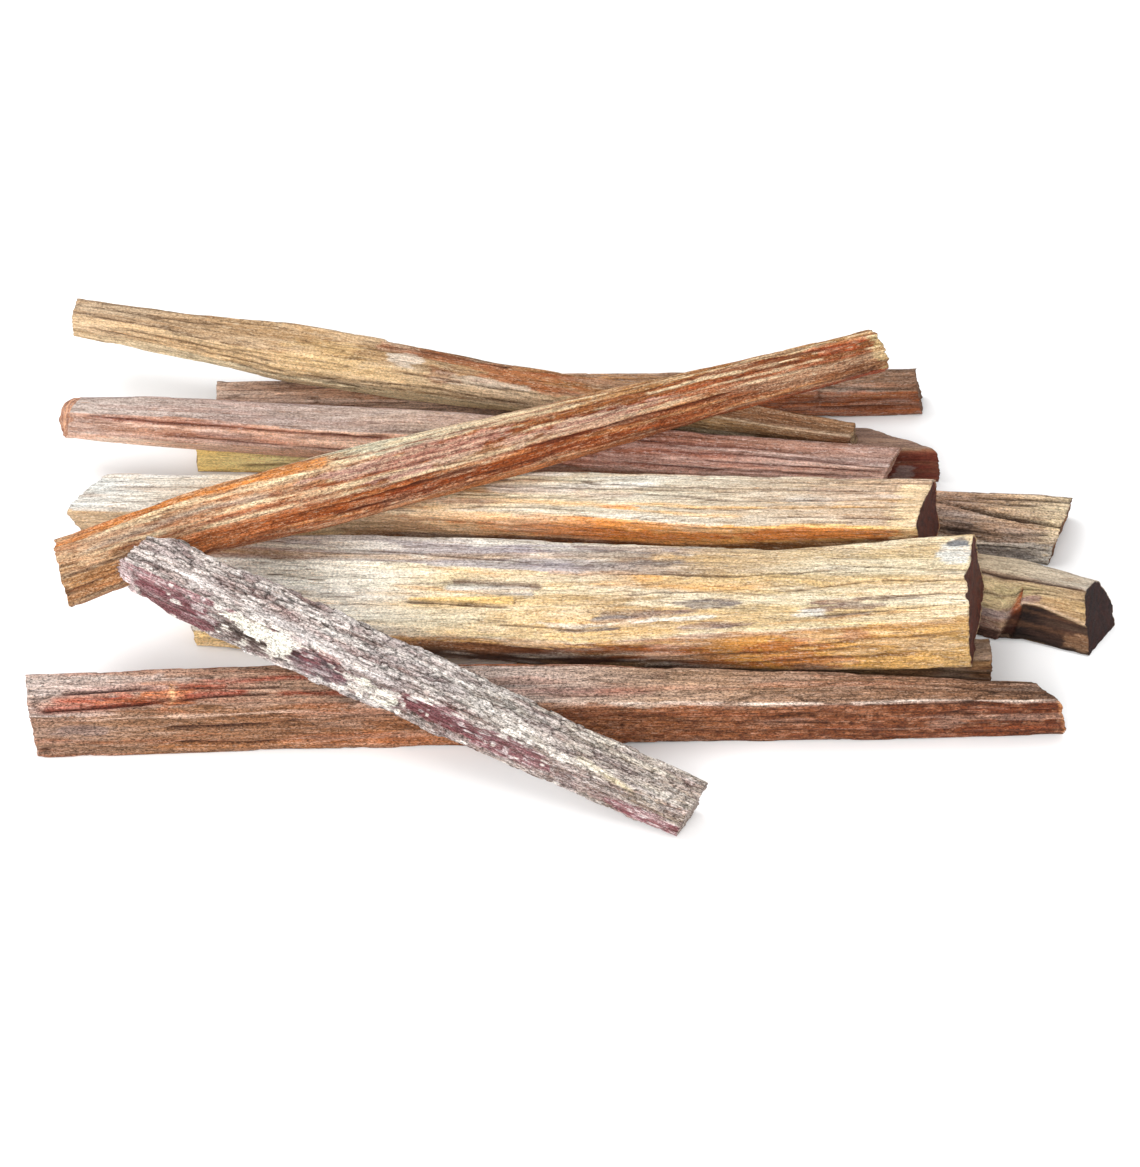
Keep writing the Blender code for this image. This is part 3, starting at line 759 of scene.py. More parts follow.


# ---- the sticks -----------------------------------------------------------------------------------------
#
# Most colours in the facets' lists are not picked by hand. A scratch script compared the mean colours of the
# photo and the render, facet by facet and tenth by tenth, and its advice was typed in almost unchanged. They
# should be picked afresh by eye; report.md says more under "Rules that are not kept".
# Where the lamps here leave a facet in shade, its colours below are raised, which is painted light; where
# they light a place that is meant to look shaded, its colours are lowered, which is painted shade. The
# grey-lilac tops of the red-brown sticks are partly painted sheen.

def front_long():
    fine = Fine("front_long_stick", 0.55, 0.34, 1100, [
        (270, 270, (0, *BROWN)),
        (180, 180, (0, 132, 100, 82), (0.1, 132, 96, 70), (0.3, 124, 80, 50), (0.55, 154, 98, 62),
         (0.75, 114, 64, 34), (1, 90, 40, 12)),
        # top: its grey-pink is partly the wood's and partly painted sheen; its darkening at the right end is
        # painted shade on the rounded corner
        (98, 98, (0, 172, 154, 146), (0.1, 168, 132, 112), (0.28, 174, 138, 114), (0.45, 166, 150, 142),
         (0.65, 158, 126, 100), (0.8, 144, 110, 86), (0.93, 128, 92, 68), (1, 84, 58, 42)),
        (0, 0, (0, *RED_BROWN), (1, *BROWN)),
    ])
    fine.weather(fibre=0.18, groove=0.4, strip=0.25)
    fine.cracks(
        (0.008, 0.125, 2.06, 2.22, 1.0, 0.85, 0.3, 200), (0.03, 0.13, 2.5, 2.56, 1.0, 0.75, 0.3, 205),
        (0.145, 0.24, 2.26, 2.33, 1.0, 0.85, 0.3, 208), (0.14, 0.26, 2.52, 2.44, 0.7, 0.45, 0.4, 220),
        (0.13, 0.24, 1.58, 1.66, 1.0, 0.9, 0.4, 210), (0.23, 0.42, 1.7, 1.8, 0.6, 0.5, 0.5, 213),
        (0.135, 0.25, 1.25, 1.22, 1.0, 0.9, 0.5, 216), (0.55, 0.8, 1.6, 1.5, 0.5, 0.4, 0.5, 230),
        (0.62, 0.97, 1.3, 1.35, 0.5, 0.4, 0.5, 240), (0.108, 0.142, 2.14, 2.28, 0.5, 0.4, 0.2, 245))
    fine.settle((0.5, 0.25))
    fine.patch((190, 110, 66), 0.85, 0.14, 2.3, 0.026, 0.24, 0.3, (4, 1.0), 1)
    red = (158, 60, 38)
    for seed, (t0, t1, w0, w1) in enumerate([
            (0.005, 0.135, 2.08, 2.26), (0.03, 0.14, 2.5, 2.56), (0.15, 0.22, 2.3, 2.36),
            (0.16, 0.34, 2.66, 2.6), (0.02, 0.11, 2.3, 2.36), (0.145, 0.2, 2.52, 2.54),
            (0.24, 0.36, 2.3, 2.28)]):
        fine.streak(red, 0.9, t0, t1, w0, w1, 1.5, 0.3, 250 + 3 * seed)
    fine.streak((216, 122, 74), 0.7, 0.06, 0.145, 2.24, 2.34, 1.0, 0.3, 267)
    fine.streak((222, 184, 160), 0.9, 0.03, 0.3, 1.88, 1.88, 0.8, 0.2, 270)
    fine.patch((104, 84, 80), 0.7, 0.05, 1.6, 0.03, 0.12, 0.5, (5, 1.0), 4)
    fine.streak((186, 172, 158), 0.6, -0.02, 0.1, 2.8, 2.8, 1.6, 0.3, 272)
    # painted highlight: a broken pale line along the arris between front and top
    broken = ramp(fine.noise(6, 3, 1191), -0.35, 0.0)
    fine.paint((232, 214, 200), 0.9 * broken * fine.stripe(0.5, 1.02, 2.03, 2.02, 0.75, 0.3, 275))
    # partly painted sheen: the lilac patch on the top near the left end
    fine.patch(LILAC, 0.5, 0.05, 2.7, 0.1, 0.3, 0.45, (9, 1.0), 2)
    fine.patch((234, 178, 128), 0.75, 0.1415, 2.36, 0.003, 0.26, 0.15, (3, 1.0), 3)
    fine.streak((140, 70, 60), 0.5, 0.44, 0.62, 2.35, 2.3, 2.2, 0.5, 280)
    fine.streak((186, 116, 60), 0.5, 0.1, 0.36, 1.2, 1.15, 2.0, 0.5, 285)
    mottle = 0.7 * fine.noise(3.0, 1.3, 1192) + 0.8 * fine.noise(1.3, 0.8, 1193)
    front = ramp(fine.w, 1.0, 1.05) * (1 - ramp(fine.w, 1.93, 1.98)) * ramp(fine.t, 0.4, 0.5)
    fine.paint((158, 104, 74), 0.5 * front * ramp(mottle, 0.2, 0.5))
    fine.paint((78, 36, 20), 0.5 * front * ramp(-mottle, 0.2, 0.5))
    fine.paint((222, 150, 92), 0.8 * (1 - ramp((1 - fine.t) * fine.length, 0.2, 0.8)) * (fine.w < 2.0))
    fine.finish_tint((150, 78, 44), 0.3, (196, 170, 154), 0.18, 1.0, (48, 22, 18))
    # the dark right end is partly the end grain's colour and partly painted shade
    finish_stick(fine, "front_long", "red_brown_wood", [(PINK, GREY), ((60, 34, 26), BLACKISH)],
                 roughness=0.72, speck=(*UMBER, 0.4), fleck=(206, 176, 156), hairline=0.62, grit=0.92,
                 shade=0.22)


def buried_wedge():
    fine = Fine("buried_wedge_stick", 0.7, 0.42, 1200, [
        (270, 270, (0, *UMBER)),
        (180, 180, (0, *OLIVE), (1, 104, 74, 48)),
        (92, 92, (0, *OLIVE), (1, 124, 90, 58)),
        (0, 0, (0, *UMBER)),
    ])
    fine.weather()
    fine.settle()
    fine.finish_tint(BROWN, 0.5, GREY, 0.3)
    finish_stick(fine, "buried_wedge", "dull_brown_wood", [(OLIVE, BROWN), (UMBER, BROWN)],
                 roughness=0.78, speck=(*UMBER, 0.4), fleck=TAN)


def golden():
    fine = Fine("golden_split", 0.5, 0.32, 1300, [
        (270, 270, (0, *STRAW)),
        # front: darker between t 0.3 and 0.72, most at 0.45, as painted shadow
        (180, 180, (0, 250, 214, 150), (0.3, 170, 120, 80), (0.45, 106, 56, 26), (0.6, 140, 83, 41),
         (0.72, 186, 128, 62), (0.85, 216, 162, 86), (1, 186, 150, 96)),
        (123, 98.5, (0, 250, 250, 244), (0.22, 232, 224, 210), (0.32, 220, 196, 154), (0.6, 188, 155, 110),
         (0.8, 191, 171, 132), (1, 218, 194, 156)),
        # back of the top: the brown at its left end is painted shade
        (100, 91, (0, 154, 108, 84), (0.2, 190, 178, 170), (0.46, 146, 136, 141), (0.6, 172, 150, 130),
         (0.68, 177, 151, 116), (1, 216, 194, 152)),
        (0, 0, (0, *STRAW), (1, 224, 186, 126)),
    ])
    fine.weather(fibre=0.12, groove=0.25, layer=0.3, strip=0.16)
    recess = fine.torn(0.332, 0.446, 2.68, 2.83, 0.9, 1.5, 200, 1.0)
    along = np.clip((fine.t - 0.282) / 0.136, 0, 1)
    within = ramp(fine.w, 2.49, 2.51) * (1 - ramp(fine.w, 2.52 + 0.09 * along, 2.54 + 0.09 * along))
    splinter = within * ramp(fine.t, 0.28, 0.284) * (1 - ramp(fine.t, 0.416, 0.419))
    fine.cut_fresh(-0.45 * splinter)
    hollow = fine.torn(0.53, 0.6, 2.22, 2.42, 0.5, 3, 220)
    fine.cracks(
        (0.09, 0.175, 2.8, 2.72, 0.8, 0.45, 0.5, 230), (0.27, 0.42, 2.475, 2.465, 0.9, 0.5, 0.0, 235),
        (0.4165, 0.4215, 2.47, 2.62, 0.9, 0.7, 0.0, 237), (0.395, 0.52, 2.17, 2.18, 0.6, 0.4, 0.5, 240),
        (0.52, 0.86, 2.99, 2.97, 0.7, 0.5, 0.5, 245), (0.82, 1.02, 3.02, 3.08, 0.7, 0.4, 0.4, 250),
        (0.76, 1.02, 2.64, 2.86, 0.6, 0.36, 0.4, 255), (0.88, 1.02, 2.46, 2.52, 0.6, 0.36, 0.4, 260),
        (0.55, 0.74, 2.68, 2.7, 0.5, 0.36, 0.5, 265), (0.76, 1.01, 1.62, 1.74, 0.7, 0.42, 0.5, 270),
        (0.6, 0.9, 1.4, 1.5, 0.6, 0.42, 0.6, 275), (0.7, 0.95, 1.22, 1.3, 0.6, 0.42, 0.6, 280),
        (0.2, 0.45, 3.35, 3.3, 0.5, 0.4, 0.8, 285), (0.8, 0.95, 2.22, 2.25, 0.5, 0.36, 0.5, 290))
    fine.bite(1, 2.1, -1.5, 0.7)
    fine.bite(1, 2.9, 1.0, 0.2)
    fine.bite(1, 2.45, 0.9, 0.12)
    fine.settle((0.6, 0.4), fray=0.03)
    fine.paint((204, 198, 190), 0.95 * recess)
    fine.paint((244, 204, 134), 0.9 * splinter)
    fine.paint((170, 158, 152), 0.7 * hollow)
    bands = fine.noise(70, 2.2, 1396)
    fine.paint((238, 232, 208), 0.45 * ramp(bands, 0.05, 0.45) * ramp(fine.w, 2.0, 2.1))
    fine.paint((226, 182, 112), 0.3 * ramp(-bands, 0.1, 0.5) * ramp(fine.w, 2.0, 2.1))
    purple, smoke, white = (128, 102, 92), (112, 100, 96), (226, 226, 220)
    streaks = ramp(fine.noise(5, 0.8, 1394) + 0.4 * fine.noise(1.5, 0.5, 1395), -0.25, 0.15)
    for seed, (t, w, dt, dw) in enumerate([
            (0.55, 2.33, 0.03, 0.06), (0.61, 2.37, 0.045, 0.055), (0.67, 2.5, 0.048, 0.075),
            (0.68, 2.13, 0.045, 0.055), (0.52, 2.17, 0.05, 0.03), (0.865, 2.31, 0.055, 0.055),
            (0.905, 2.43, 0.045, 0.045), (0.835, 2.4, 0.035, 0.035), (0.85, 2.18, 0.045, 0.035),
            (0.815, 2.3, 0.03, 0.05)]):
        fine.paint(purple if seed % 2 else smoke,
                   (0.7 + 0.25 * streaks) * fine.blot(t, w, dt, dw, 0.3, (9, 0.7), seed))
    for seed, (t, w, dt, dw) in enumerate([
            (0.583, 2.28, 0.03, 0.05), (0.645, 2.27, 0.04, 0.04), (0.8, 2.23, 0.022, 0.07),
            (0.5, 2.24, 0.05, 0.04)]):
        fine.patch(white, 0.65, t, w, dt, dw, 0.35, (7, 0.8), 13 + seed)
    grey_top = fine.blot(0.36, 3.55, 0.26, 0.45, 0.6, (16, 1.5), 16)
    fine.paint((150, 142, 144), 0.55 * grey_top * ramp(fine.noise(9, 1.1, 1391), -0.1, 0.5))
    fine.paint(IVORY, 0.6 * grey_top * ramp(fine.noise(7, 1.0, 1392), 0.15, 0.6))
    fine.patch((*smoke, 0.8), 0.6, 0.56, 3.5, 0.07, 0.3, 0.8, (7, 0.9), 17)
    fine.patch(white, 0.9, 0.978, 3.5, 0.024, 0.3, 0.3, (3, 0.8), 18)
    fine.patch((96, 98, 104), 0.9, 0.982, 3.75, 0.016, 0.16, 0.4, (3, 0.8), 19)
    orange = (222, 158, 84)
    for seed, (t0, t1, w0, w1, width) in enumerate([
            (0.5, 0.76, 2.86, 2.76, 1.5), (0.45, 0.62, 3.02, 2.98, 1.0), (0.3, 0.42, 2.95, 2.92, 1.2),
            (0.25, 0.4, 2.66, 2.62, 1.0), (0.46, 0.6, 2.3, 2.3, 1.0), (0.74, 0.96, 2.12, 2.2, 0.8)]):
        fine.streak(orange, 0.5, t0, t1, w0, w1, width, 0.5, 300 + 3 * seed)
    rust = (176, 96, 44)
    for seed, (t, w, dt, dw) in enumerate([
            (0.765, 1.58, 0.04, 0.22), (0.85, 1.75, 0.025, 0.12), (0.66, 1.3, 0.07, 0.3),
            (0.6, 1.5, 0.05, 0.3), (0.8, 1.2, 0.05, 0.15)]):
        fine.patch(rust, 0.6, t, w, dt, dw, 0.8, (6, 0.9), 20 + seed)
    fine.streak((238, 214, 160), 0.6, 0.3, 1.03, 2.03, 2.03, 0.7, 0.2, 340)
    fine.streak((140, 86, 44), 0.65, 0.45, 1.03, 1.91, 1.93, 0.9, 0.3, 344)
    # painted shadow on the lower front, towards the middle of the stick
    low = (1 - ramp(fine.w + 0.12 * fine.noise(14, 2, 1393), 1.25, 1.7)) * ramp(fine.w, 0.9, 1.0)
    shaded = ramp(fine.t, 0.2, 0.3) * (1 - ramp(fine.t, 0.6, 0.75))
    fine.paint((46, 28, 20), 0.9 * low * shaded)
    fine.patch((232, 176, 96), 0.5, 0.42, 1.9, 0.2, 0.12, 0.5, (12, 0.8), 26)
    fine.finish_tint((214, 172, 116), 0.18, IVORY, 0.2, 0.6, (84, 52, 34))
    # the dark right end is partly the end grain's colour and partly painted shade
    finish_stick(fine, "golden", "golden_wood", [(CREAM, STRAW), ((88, 38, 24), (50, 25, 20))],
                 roughness=0.66, speck=UMBER, fleck=IVORY, hairline=0.84, dark_line=0.75, grit=0.55,
                 fuzz=0.4, shade=0.13)


def knobbly():
    fine = Fine("knobbly_short_stick", 0.45, 0.3, 1400, [
        (270, 270, (0, *UMBER), (1, 52, 34, 24)),
        (180, 164, (0, *UMBER), (0.78, 150, 118, 104), (0.84, 180, 146, 107), (1, 180, 150, 106)),
        (144, 142, (0, *TAN), (0.78, 192, 170, 130), (1, 156, 130, 98)),
        (92, 91, (0, *TAN), (0.78, 176, 160, 136), (1, 184, 172, 156)),
        (18, 10, (0, *BROWN), (1, 216, 200, 182)),
        (355, 350, (0, *UMBER), (1, 108, 74, 48)),
    ])
    fine.weather(fibre=0.1, groove=0.2, layer=0.25, strip=0.14)
    past_split = (fine.t - mix(0.789, 0.832, (fine.w - 1.29) / 1.31)) * fine.length
    lower_edge = mix(1.84, 1.54, (fine.t - 0.83) / 0.17) + 0.02 * fine.noise(9, 2, 1490)
    under = (ramp(past_split, -0.1, 0.3) * (1 - ramp(fine.w, lower_edge - 0.03, lower_edge + 0.03))
             * ramp(fine.w, 0.9, 1.0))
    fine.cut_fresh(0.8 * under)
    gape = np.clip(2.4 * (2.62 - fine.w), 0, 2.2) * ramp(fine.w, 0.95, 1.0) * (fine.w < 2.62)
    split = ramp(past_split, -0.3, 0.0) * (1 - ramp(past_split, gape, gape + 0.3)) * (gape > 0)
    fine.cut_fresh(0.9 * split)
    fine.cracks(
        (0.6, 1.02, 3.02, 3.02, 0.7, 0.6, 0.4, 210), (0.6, 0.95, 2.45, 2.5, 0.4, 0.35, 0.5, 220),
        (0.85, 1.02, 2.15, 2.2, 0.5, 0.35, 0.4, 225))
    fine.settle((0.5, 0.2), 0.3, 2.2)
    # painted highlight: a pale lilac patch on the front, left of the split
    fine.patch((168, 150, 146), 0.6, 0.76, 1.85, 0.07, 0.2, 0.6, (5, 1), 1)
    # painted shade: the bottom of the front left of the split is dark
    before = (1 - ramp(past_split, -0.5, 0.0)) * (1 - ramp(fine.w, 1.3, 1.42)) * ramp(fine.w, 0.9, 1.0)
    fine.paint((64, 38, 30), 0.9 * before)
    fine.paint((134, 104, 108), 0.6 * fine.blot(0.855, 1.93, 0.03, 0.09, 0.3, (6, 1), 5) * (past_split > 0))
    # painted shade over the undercut face, near-black near the split and along the bottom
    fine.paint((52, 30, 25), 0.97 * under)
    fine.paint((26, 16, 14), 0.9 * under * (1 - ramp(past_split - 5 * (fine.w - 1.0), 2, 9)))
    fine.paint((24, 16, 15), 0.7 * under * (1 - ramp(fine.w, 1.05, 1.22)))
    fine.paint((134, 98, 70), 0.7 * fine.blot(0.975, 1.22, 0.045, 0.16, 0.4, (6, 1), 2) * under)
    # painted highlight along the edge above the undercut
    fine.paint((212, 186, 160), 0.8 * np.clip(1 - np.abs(fine.w - lower_edge - 0.05) / 0.05, 0, 1)
               * ramp(past_split, 0.5, 1.5))
    fine.paint((160, 80, 40), 0.9 * split * ramp(fine.w, 1.6, 2.0))
    fine.paint((60, 30, 22), 0.9 * split * (1 - ramp(fine.w + 0.15 * fine.noise(1.5, 0.8, 1491), 1.6, 1.9)))
    fine.streak((96, 46, 36), 0.8, 0.6, 1.02, 3.02, 3.03, 1.6, 0.4, 230)
    fine.patch((150, 140, 96), 0.35, 0.84, 2.5, 0.08, 0.3, 0.6, (9, 1), 3)
    fine.finish_tint(BROWN, 0.25, (150, 128, 104), 0.15, 0.8)
    # the near-black right end is partly the end grain's colour and partly painted shade
    finish_stick(fine, "knobbly_short", "tan_wood", [(TAN, BROWN), ((50, 26, 22), (28, 21, 23))],
                 roughness=0.7, speck=(*UMBER, 0.5), fleck=CREAM, hairline=0.72, dark_line=0.5, grit=0.42,
                 fuzz=0.35, shade=0.18)


def grey_wedge():
    fine = Fine("grey_wedge_stick", 0.45, 0.3, 1500, [
        (270, 270, (0, *UMBER)),
        (180, 180, (0, *GREY_BROWN), (0.85, 216, 198, 178), (1, 184, 176, 164)),
        (116, 116, (0, *GREY_BROWN), (0.8, 152, 124, 102), (0.92, 156, 126, 102), (1, 182, 158, 124)),
        (92, 92, (0, *BROWN), (0.75, 196, 158, 130), (0.88, 192, 163, 132), (1, 206, 187, 155)),
        (0, 0, (0, *BROWN)),
    ])
    fine.weather(fibre=0.2, groove=0.4, layer=0.35, strip=0.25)
    fine.cracks(
        (0.66, 0.935, 3.6, 2.93, 1.5, 1.0, 0.25, 200), (0.9, 1.01, 2.99, 2.76, 0.9, 0.75, 0.2, 210),
        (0.78, 1.02, 3.75, 3.7, 0.6, 0.4, 0.5, 215), (0.72, 0.95, 3.55, 3.5, 0.6, 0.4, 0.5, 220),
        (0.7, 1.0, 2.3, 2.4, 0.6, 0.4, 0.6, 225), (0.72, 1.0, 1.7, 1.8, 0.6, 0.4, 0.6, 230))
    fine.settle(proud=0.3, deepest=2.2)
    # painted highlight on the lower lip of the long crack
    fine.streak((226, 186, 150), 0.9, 0.78, 0.95, 3.06, 2.82, 0.9, 0.3, 240)
    fine.patch((98, 86, 82), 0.6, 0.78, 2.45, 0.03, 0.35, 0.5, (6, 1), 1)
    fine.patch((126, 96, 80), 0.4, 0.75, 3.2, 0.08, 0.4, 0.6, (12, 1), 2)
    # painted shade: a bluish-dark patch low on the front
    fine.patch((84, 80, 84), 0.6, 0.9, 1.35, 0.08, 0.4, 0.5, (9, 1), 4)
    fine.patch((222, 198, 160), 0.75, 0.985, 2.6, 0.02, 0.7, 0.6, (3, 1), 3)
    fine.finish_tint((132, 98, 76), 0.25, LILAC, 0.2, 0.9, (34, 24, 20))
    finish_stick(fine, "grey_wedge", "grey_brown_wood", [(TAN, BROWN), (BROWN, UMBER)],
                 roughness=0.8, speck=(*UMBER, 0.4), fleck=GREY, hairline=0.64, grit=0.75, shade=0.2)


def cream():
    fine = Fine("cream_stick", 0.5, 0.33, 1600, [
        (270, 270, (0, *HONEY), (1, *AMBER)),
        (181, 181, (0, 190, 162, 128), (0.3, 250, 228, 186), (0.5, 242, 190, 140), (0.62, 238, 154, 78),
         (0.85, 250, 196, 120), (1, 250, 218, 148)),
        (93, 92, (0, 212, 212, 206), (0.15, 224, 208, 186), (0.38, 226, 186, 133), (0.5, 228, 208, 172),
         (0.62, 204, 196, 175), (1, 190, 160, 131)),
        (0, -3, (0, *CREAM), (1, *AMBER)),
    ])
    fine.weather(fibre=0.12, groove=0.28, layer=0.28, strip=0.2)
    for seed, (t0, t1, w0, w1) in enumerate([
            (0.4, 0.62, 2.8, 2.78), (0.45, 0.8, 2.62, 2.6), (0.55, 0.99, 2.72, 2.7), (0.6, 1.01, 2.5, 2.48),
            (0.42, 0.66, 2.4, 2.38), (0.7, 1.01, 2.3, 2.34), (0.8, 1.01, 2.86, 2.84), (0.02, 0.18, 2.55, 2.5),
            (0.45, 0.6, 2.15, 2.12), (0.82, 1.0, 2.14, 2.12)]):
        fine.crack(t0, t1, w0, w1, 0.5, 0.36, 0.5, 200 + 4 * seed)
    fine.bite(1, 3.0, -1.3, 0.5)
    fine.bite(1, 2.0, -0.5, 0.4)
    fine.settle((0.7, 0.3), fray=0.03)
    for seed, (t0, t1, w0, w1, width) in enumerate([
            (0.33, 0.5, 2.22, 2.24, 1.4), (0.46, 0.66, 2.27, 2.24, 1.3), (0.62, 0.98, 2.3, 2.34, 1.0),
            (0.6, 0.8, 2.18, 2.16, 0.9), (0.8, 1.0, 2.44, 2.46, 0.7), (0.42, 0.6, 2.46, 2.5, 0.8)]):
        fine.streak((234, 176, 96), 0.75, t0, t1, w0, w1, width, 0.5, 260 + 3 * seed)
    fine.patch((228, 150, 84), 0.8, 0.64, 2.22, 0.025, 0.05, 0.5, (7, 0.8), 1)
    fine.patch((168, 112, 70), 0.6, 0.4, 2.55, 0.12, 0.4, 0.8, (14, 1.2), 2)
    p = fine.points()
    whitish = (ramp(noise(p, 22, 2.2, 1691), 0.05, 0.5) * ramp(fine.w, 2.3, 2.5)
               * (1 - ramp(fine.w, 2.95, 3.0)))
    fine.paint((226, 226, 222), 0.6 * whitish)
    fine.paint((196, 170, 150), 0.5 * ramp(noise(p, 18, 1.4, 1692), 0.2, 0.6) * ramp(fine.w, 2.05, 2.2))
    fine.streak((232, 224, 210), 0.8, 0.42, 0.72, 2.04, 2.06, 1.2, 0.5, 280)
    front = (1 - ramp(fine.w, 1.95, 2.0)) * ramp(fine.w, 1.0, 1.05)
    fine.paint((214, 122, 52), 0.8 * fine.blot(0.86, 1.78, 0.14, 0.16, 0.5, (18, 1.2), 3) * front)
    fine.paint((214, 118, 50), 0.6 * fine.blot(0.62, 1.65, 0.14, 0.16, 0.6, (14, 1.2), 4) * front)
    fine.paint((226, 176, 116), 0.8 * fine.blot(0.76, 1.86, 0.05, 0.07, 0.3, (12, 1.2), 5) * front)
    # painted shade: the front darker towards its lower edge
    fine.paint((128, 70, 38), 0.6 * front * (1 - ramp(fine.w + 0.12 * noise(p, 16, 2, 1693), 1.15, 1.5)))
    fine.patch((150, 92, 60), 0.5, 0.34, 1.5, 0.08, 0.5, 0.6, (12, 1.2), 6)
    # painted shadow: a dark line along the lowest visible part of the front, where the golden stick lies
    # against it
    contact_shadow_edge = 1.43 + 1.25 * np.maximum(fine.t - 0.7, 0)
    fine.paint((84, 44, 24), 0.8 * front * (1 - ramp(fine.w, contact_shadow_edge - 0.06, contact_shadow_edge + 0.03))
               * ramp(fine.t, 0.3, 0.4))
    fine.patch((240, 214, 170), 0.7, 0.99, 2.4, 0.022, 0.7, 0.5, (4, 1.0), 7)
    fine.finish_tint((206, 164, 118), 0.16, IVORY, 0.2, 0.6, (84, 52, 36))
    # the dark right end is partly the end grain's colour and partly painted shade
    finish_stick(fine, "cream", "cream_wood",
                 [((190, 140, 92), (160, 130, 100)), ((86, 37, 23), (50, 25, 20))],
                 roughness=0.66, speck=UMBER, fleck=IVORY, hairline=0.82, dark_line=0.75, grit=0.48,
                 fuzz=0.4, shade=0.13)


def yellow_red():
    fine = Fine("yellow_red_stick", 0.6, 0.36, 1700, [
        (270, 270, (0, *HONEY), (1, *OX_RED)),
        # front: near-white yellow at the left end, painted light that makes up for the shade of the sticks
        # lying over it
        (180, 180, (0, 255, 222, 142), (0.14, 255, 238, 176), (0.3, *BROWN), (0.6, *RED_BROWN),
         (0.9, 120, 56, 42), (1, 124, 58, 44)),
        (90, 94, (0, 226, 192, 120), (0.15, 216, 178, 108), (0.35, *OLIVE), (0.6, *BROWN),
         (1, 144, 116, 102)),
        (0, 0, (0, *HONEY), (1, *BROWN)),
    ])
    fine.weather(fibre=0.12, groove=0.2, strip=0.18)
    fine.crack(0.02, 0.2, 2.0, 1.62, 0.7, 0.5, 0.3, 200)
    fine.settle((0.5, 0.3))
    fine.streak((126, 88, 52), 0.8, 0.03, 0.25, 1.9, 1.55, 0.8, 0.3, 210)
    fine.streak((118, 82, 52), 0.8, 0.05, 0.25, 1.25, 1.4, 0.9, 0.4, 214)
    fine.streak((226, 190, 110), 0.6, 0.0, 0.15, 2.35, 2.2, 2.0, 0.4, 218)
    fine.patch((170, 158, 154), 0.5, 0.955, 1.35, 0.012, 0.3, 0.6, (3, 1), 1)
    fine.finish_tint(BROWN, 0.12, TAN, 0.12, 0.6)
    # the dark right end is partly the end grain's colour and partly painted shade
    finish_stick(fine, "yellow_red", "yellow_and_red_wood", [(HONEY, BROWN), ((96, 44, 36), BLACKISH)],
                 roughness=0.55, speck=(*UMBER, 0.5), fleck=TAN, hairline=0.74, dark_line=0.4, grit=0.35,
                 fuzz=0.2, shade=0.14)


def mauve():
    fine = Fine("mauve_stick", 0.55, 0.35, 1800, [
        (272, 272, (0, *BROWN)),
        (206, 206, (0, 230, 208, 188), (0.2, 222, 176, 146), (1, *RED_BROWN)),
        (154, 154, (0, 168, 131, 111), (0.2, 196, 144, 116), (0.35, 252, 212, 184), (0.6, 220, 126, 78),
         (0.8, 220, 160, 134), (1, 250, 208, 184)),
        # top: its grey is partly the wood's and partly painted sheen
        (101, 101, (0, 176, 160, 150), (0.25, 160, 140, 130), (0.45, 190, 166, 148), (0.7, 162, 108, 86),
         (0.85, 168, 126, 106), (1, 166, 132, 118)),
        (29, 29, (0, 166, 146, 142), (1, 148, 110, 90)),
        (341, 341, (0, *BROWN)),
    ])
    fine.weather(fibre=0.12, groove=0.25, strip=0.14)
    fine.bite(0, 2.7, -2.2, 1.0)
    fine.bite(0, 2.62, 1.5, 0.16, 3.0)
    fine.bite(0, 4.3, 3.5, 0.8, 9.0)
    fine.cracks(
        (0.01, 0.16, 2.86, 2.72, 0.9, 0.55, 0.3, 200), (0.14, 0.4, 2.74, 2.74, 0.8, 0.55, 0.4, 205),
        (0.1, 0.4, 2.22, 2.1, 0.6, 0.45, 0.4, 215), (0.7, 1.01, 2.92, 2.9, 0.6, 0.4, 0.5, 220),
        (0.74, 1.01, 2.6, 2.62, 0.6, 0.4, 0.5, 225), (0.66, 1.01, 2.3, 2.32, 0.6, 0.4, 0.5, 230),
        (0.6, 0.9, 3.4, 3.35, 0.4, 0.4, 0.5, 235))
    top, inside = fine.ribs(1.9, 3.2, 2.4, 0.3, 0.6, 1.1, 240)
    fine.settle((0.45, 0.4))
    fine.streak((222, 184, 166), 0.7, 0.0, 0.42, 2.1, 2.02, 1.2, 0.4, 250)
    fine.streak((226, 188, 168), 0.7, 0.02, 0.38, 2.6, 2.58, 0.9, 0.4, 254)
    fine.streak((158, 86, 62), 0.7, 0.0, 0.42, 2.82, 2.74, 1.2, 0.4, 258)
    fine.streak((160, 88, 60), 0.6, 0.08, 0.45, 2.3, 2.25, 1.3, 0.4, 262)
    fine.paint((226, 200, 190), 0.5 * top * inside)
    fine.paint((140, 84, 70), 0.5 * (1 - top) * inside)
    fine.patch((206, 140, 104), 0.6, 0.005, 1.6, 0.05, 0.5, 0.4, (7, 1), 1)
    fine.patch((146, 92, 72), 0.5, 0.66, 2.9, 0.08, 0.6, 0.6, (10, 1), 2)
    fine.finish_tint((166, 120, 106), 0.22, LILAC, 0.25, 0.7, (92, 46, 38))
    finish_stick(fine, "mauve", "mauve_wood", [((194, 144, 112), (126, 76, 54)), (BROWN, PINK)],
                 roughness=0.72, speck=(*OX_RED, 0.5), fleck=(222, 206, 200), hairline=0.78, dark_line=0.6,
                 grit=0.46, fuzz=0.5, shade=0.16)


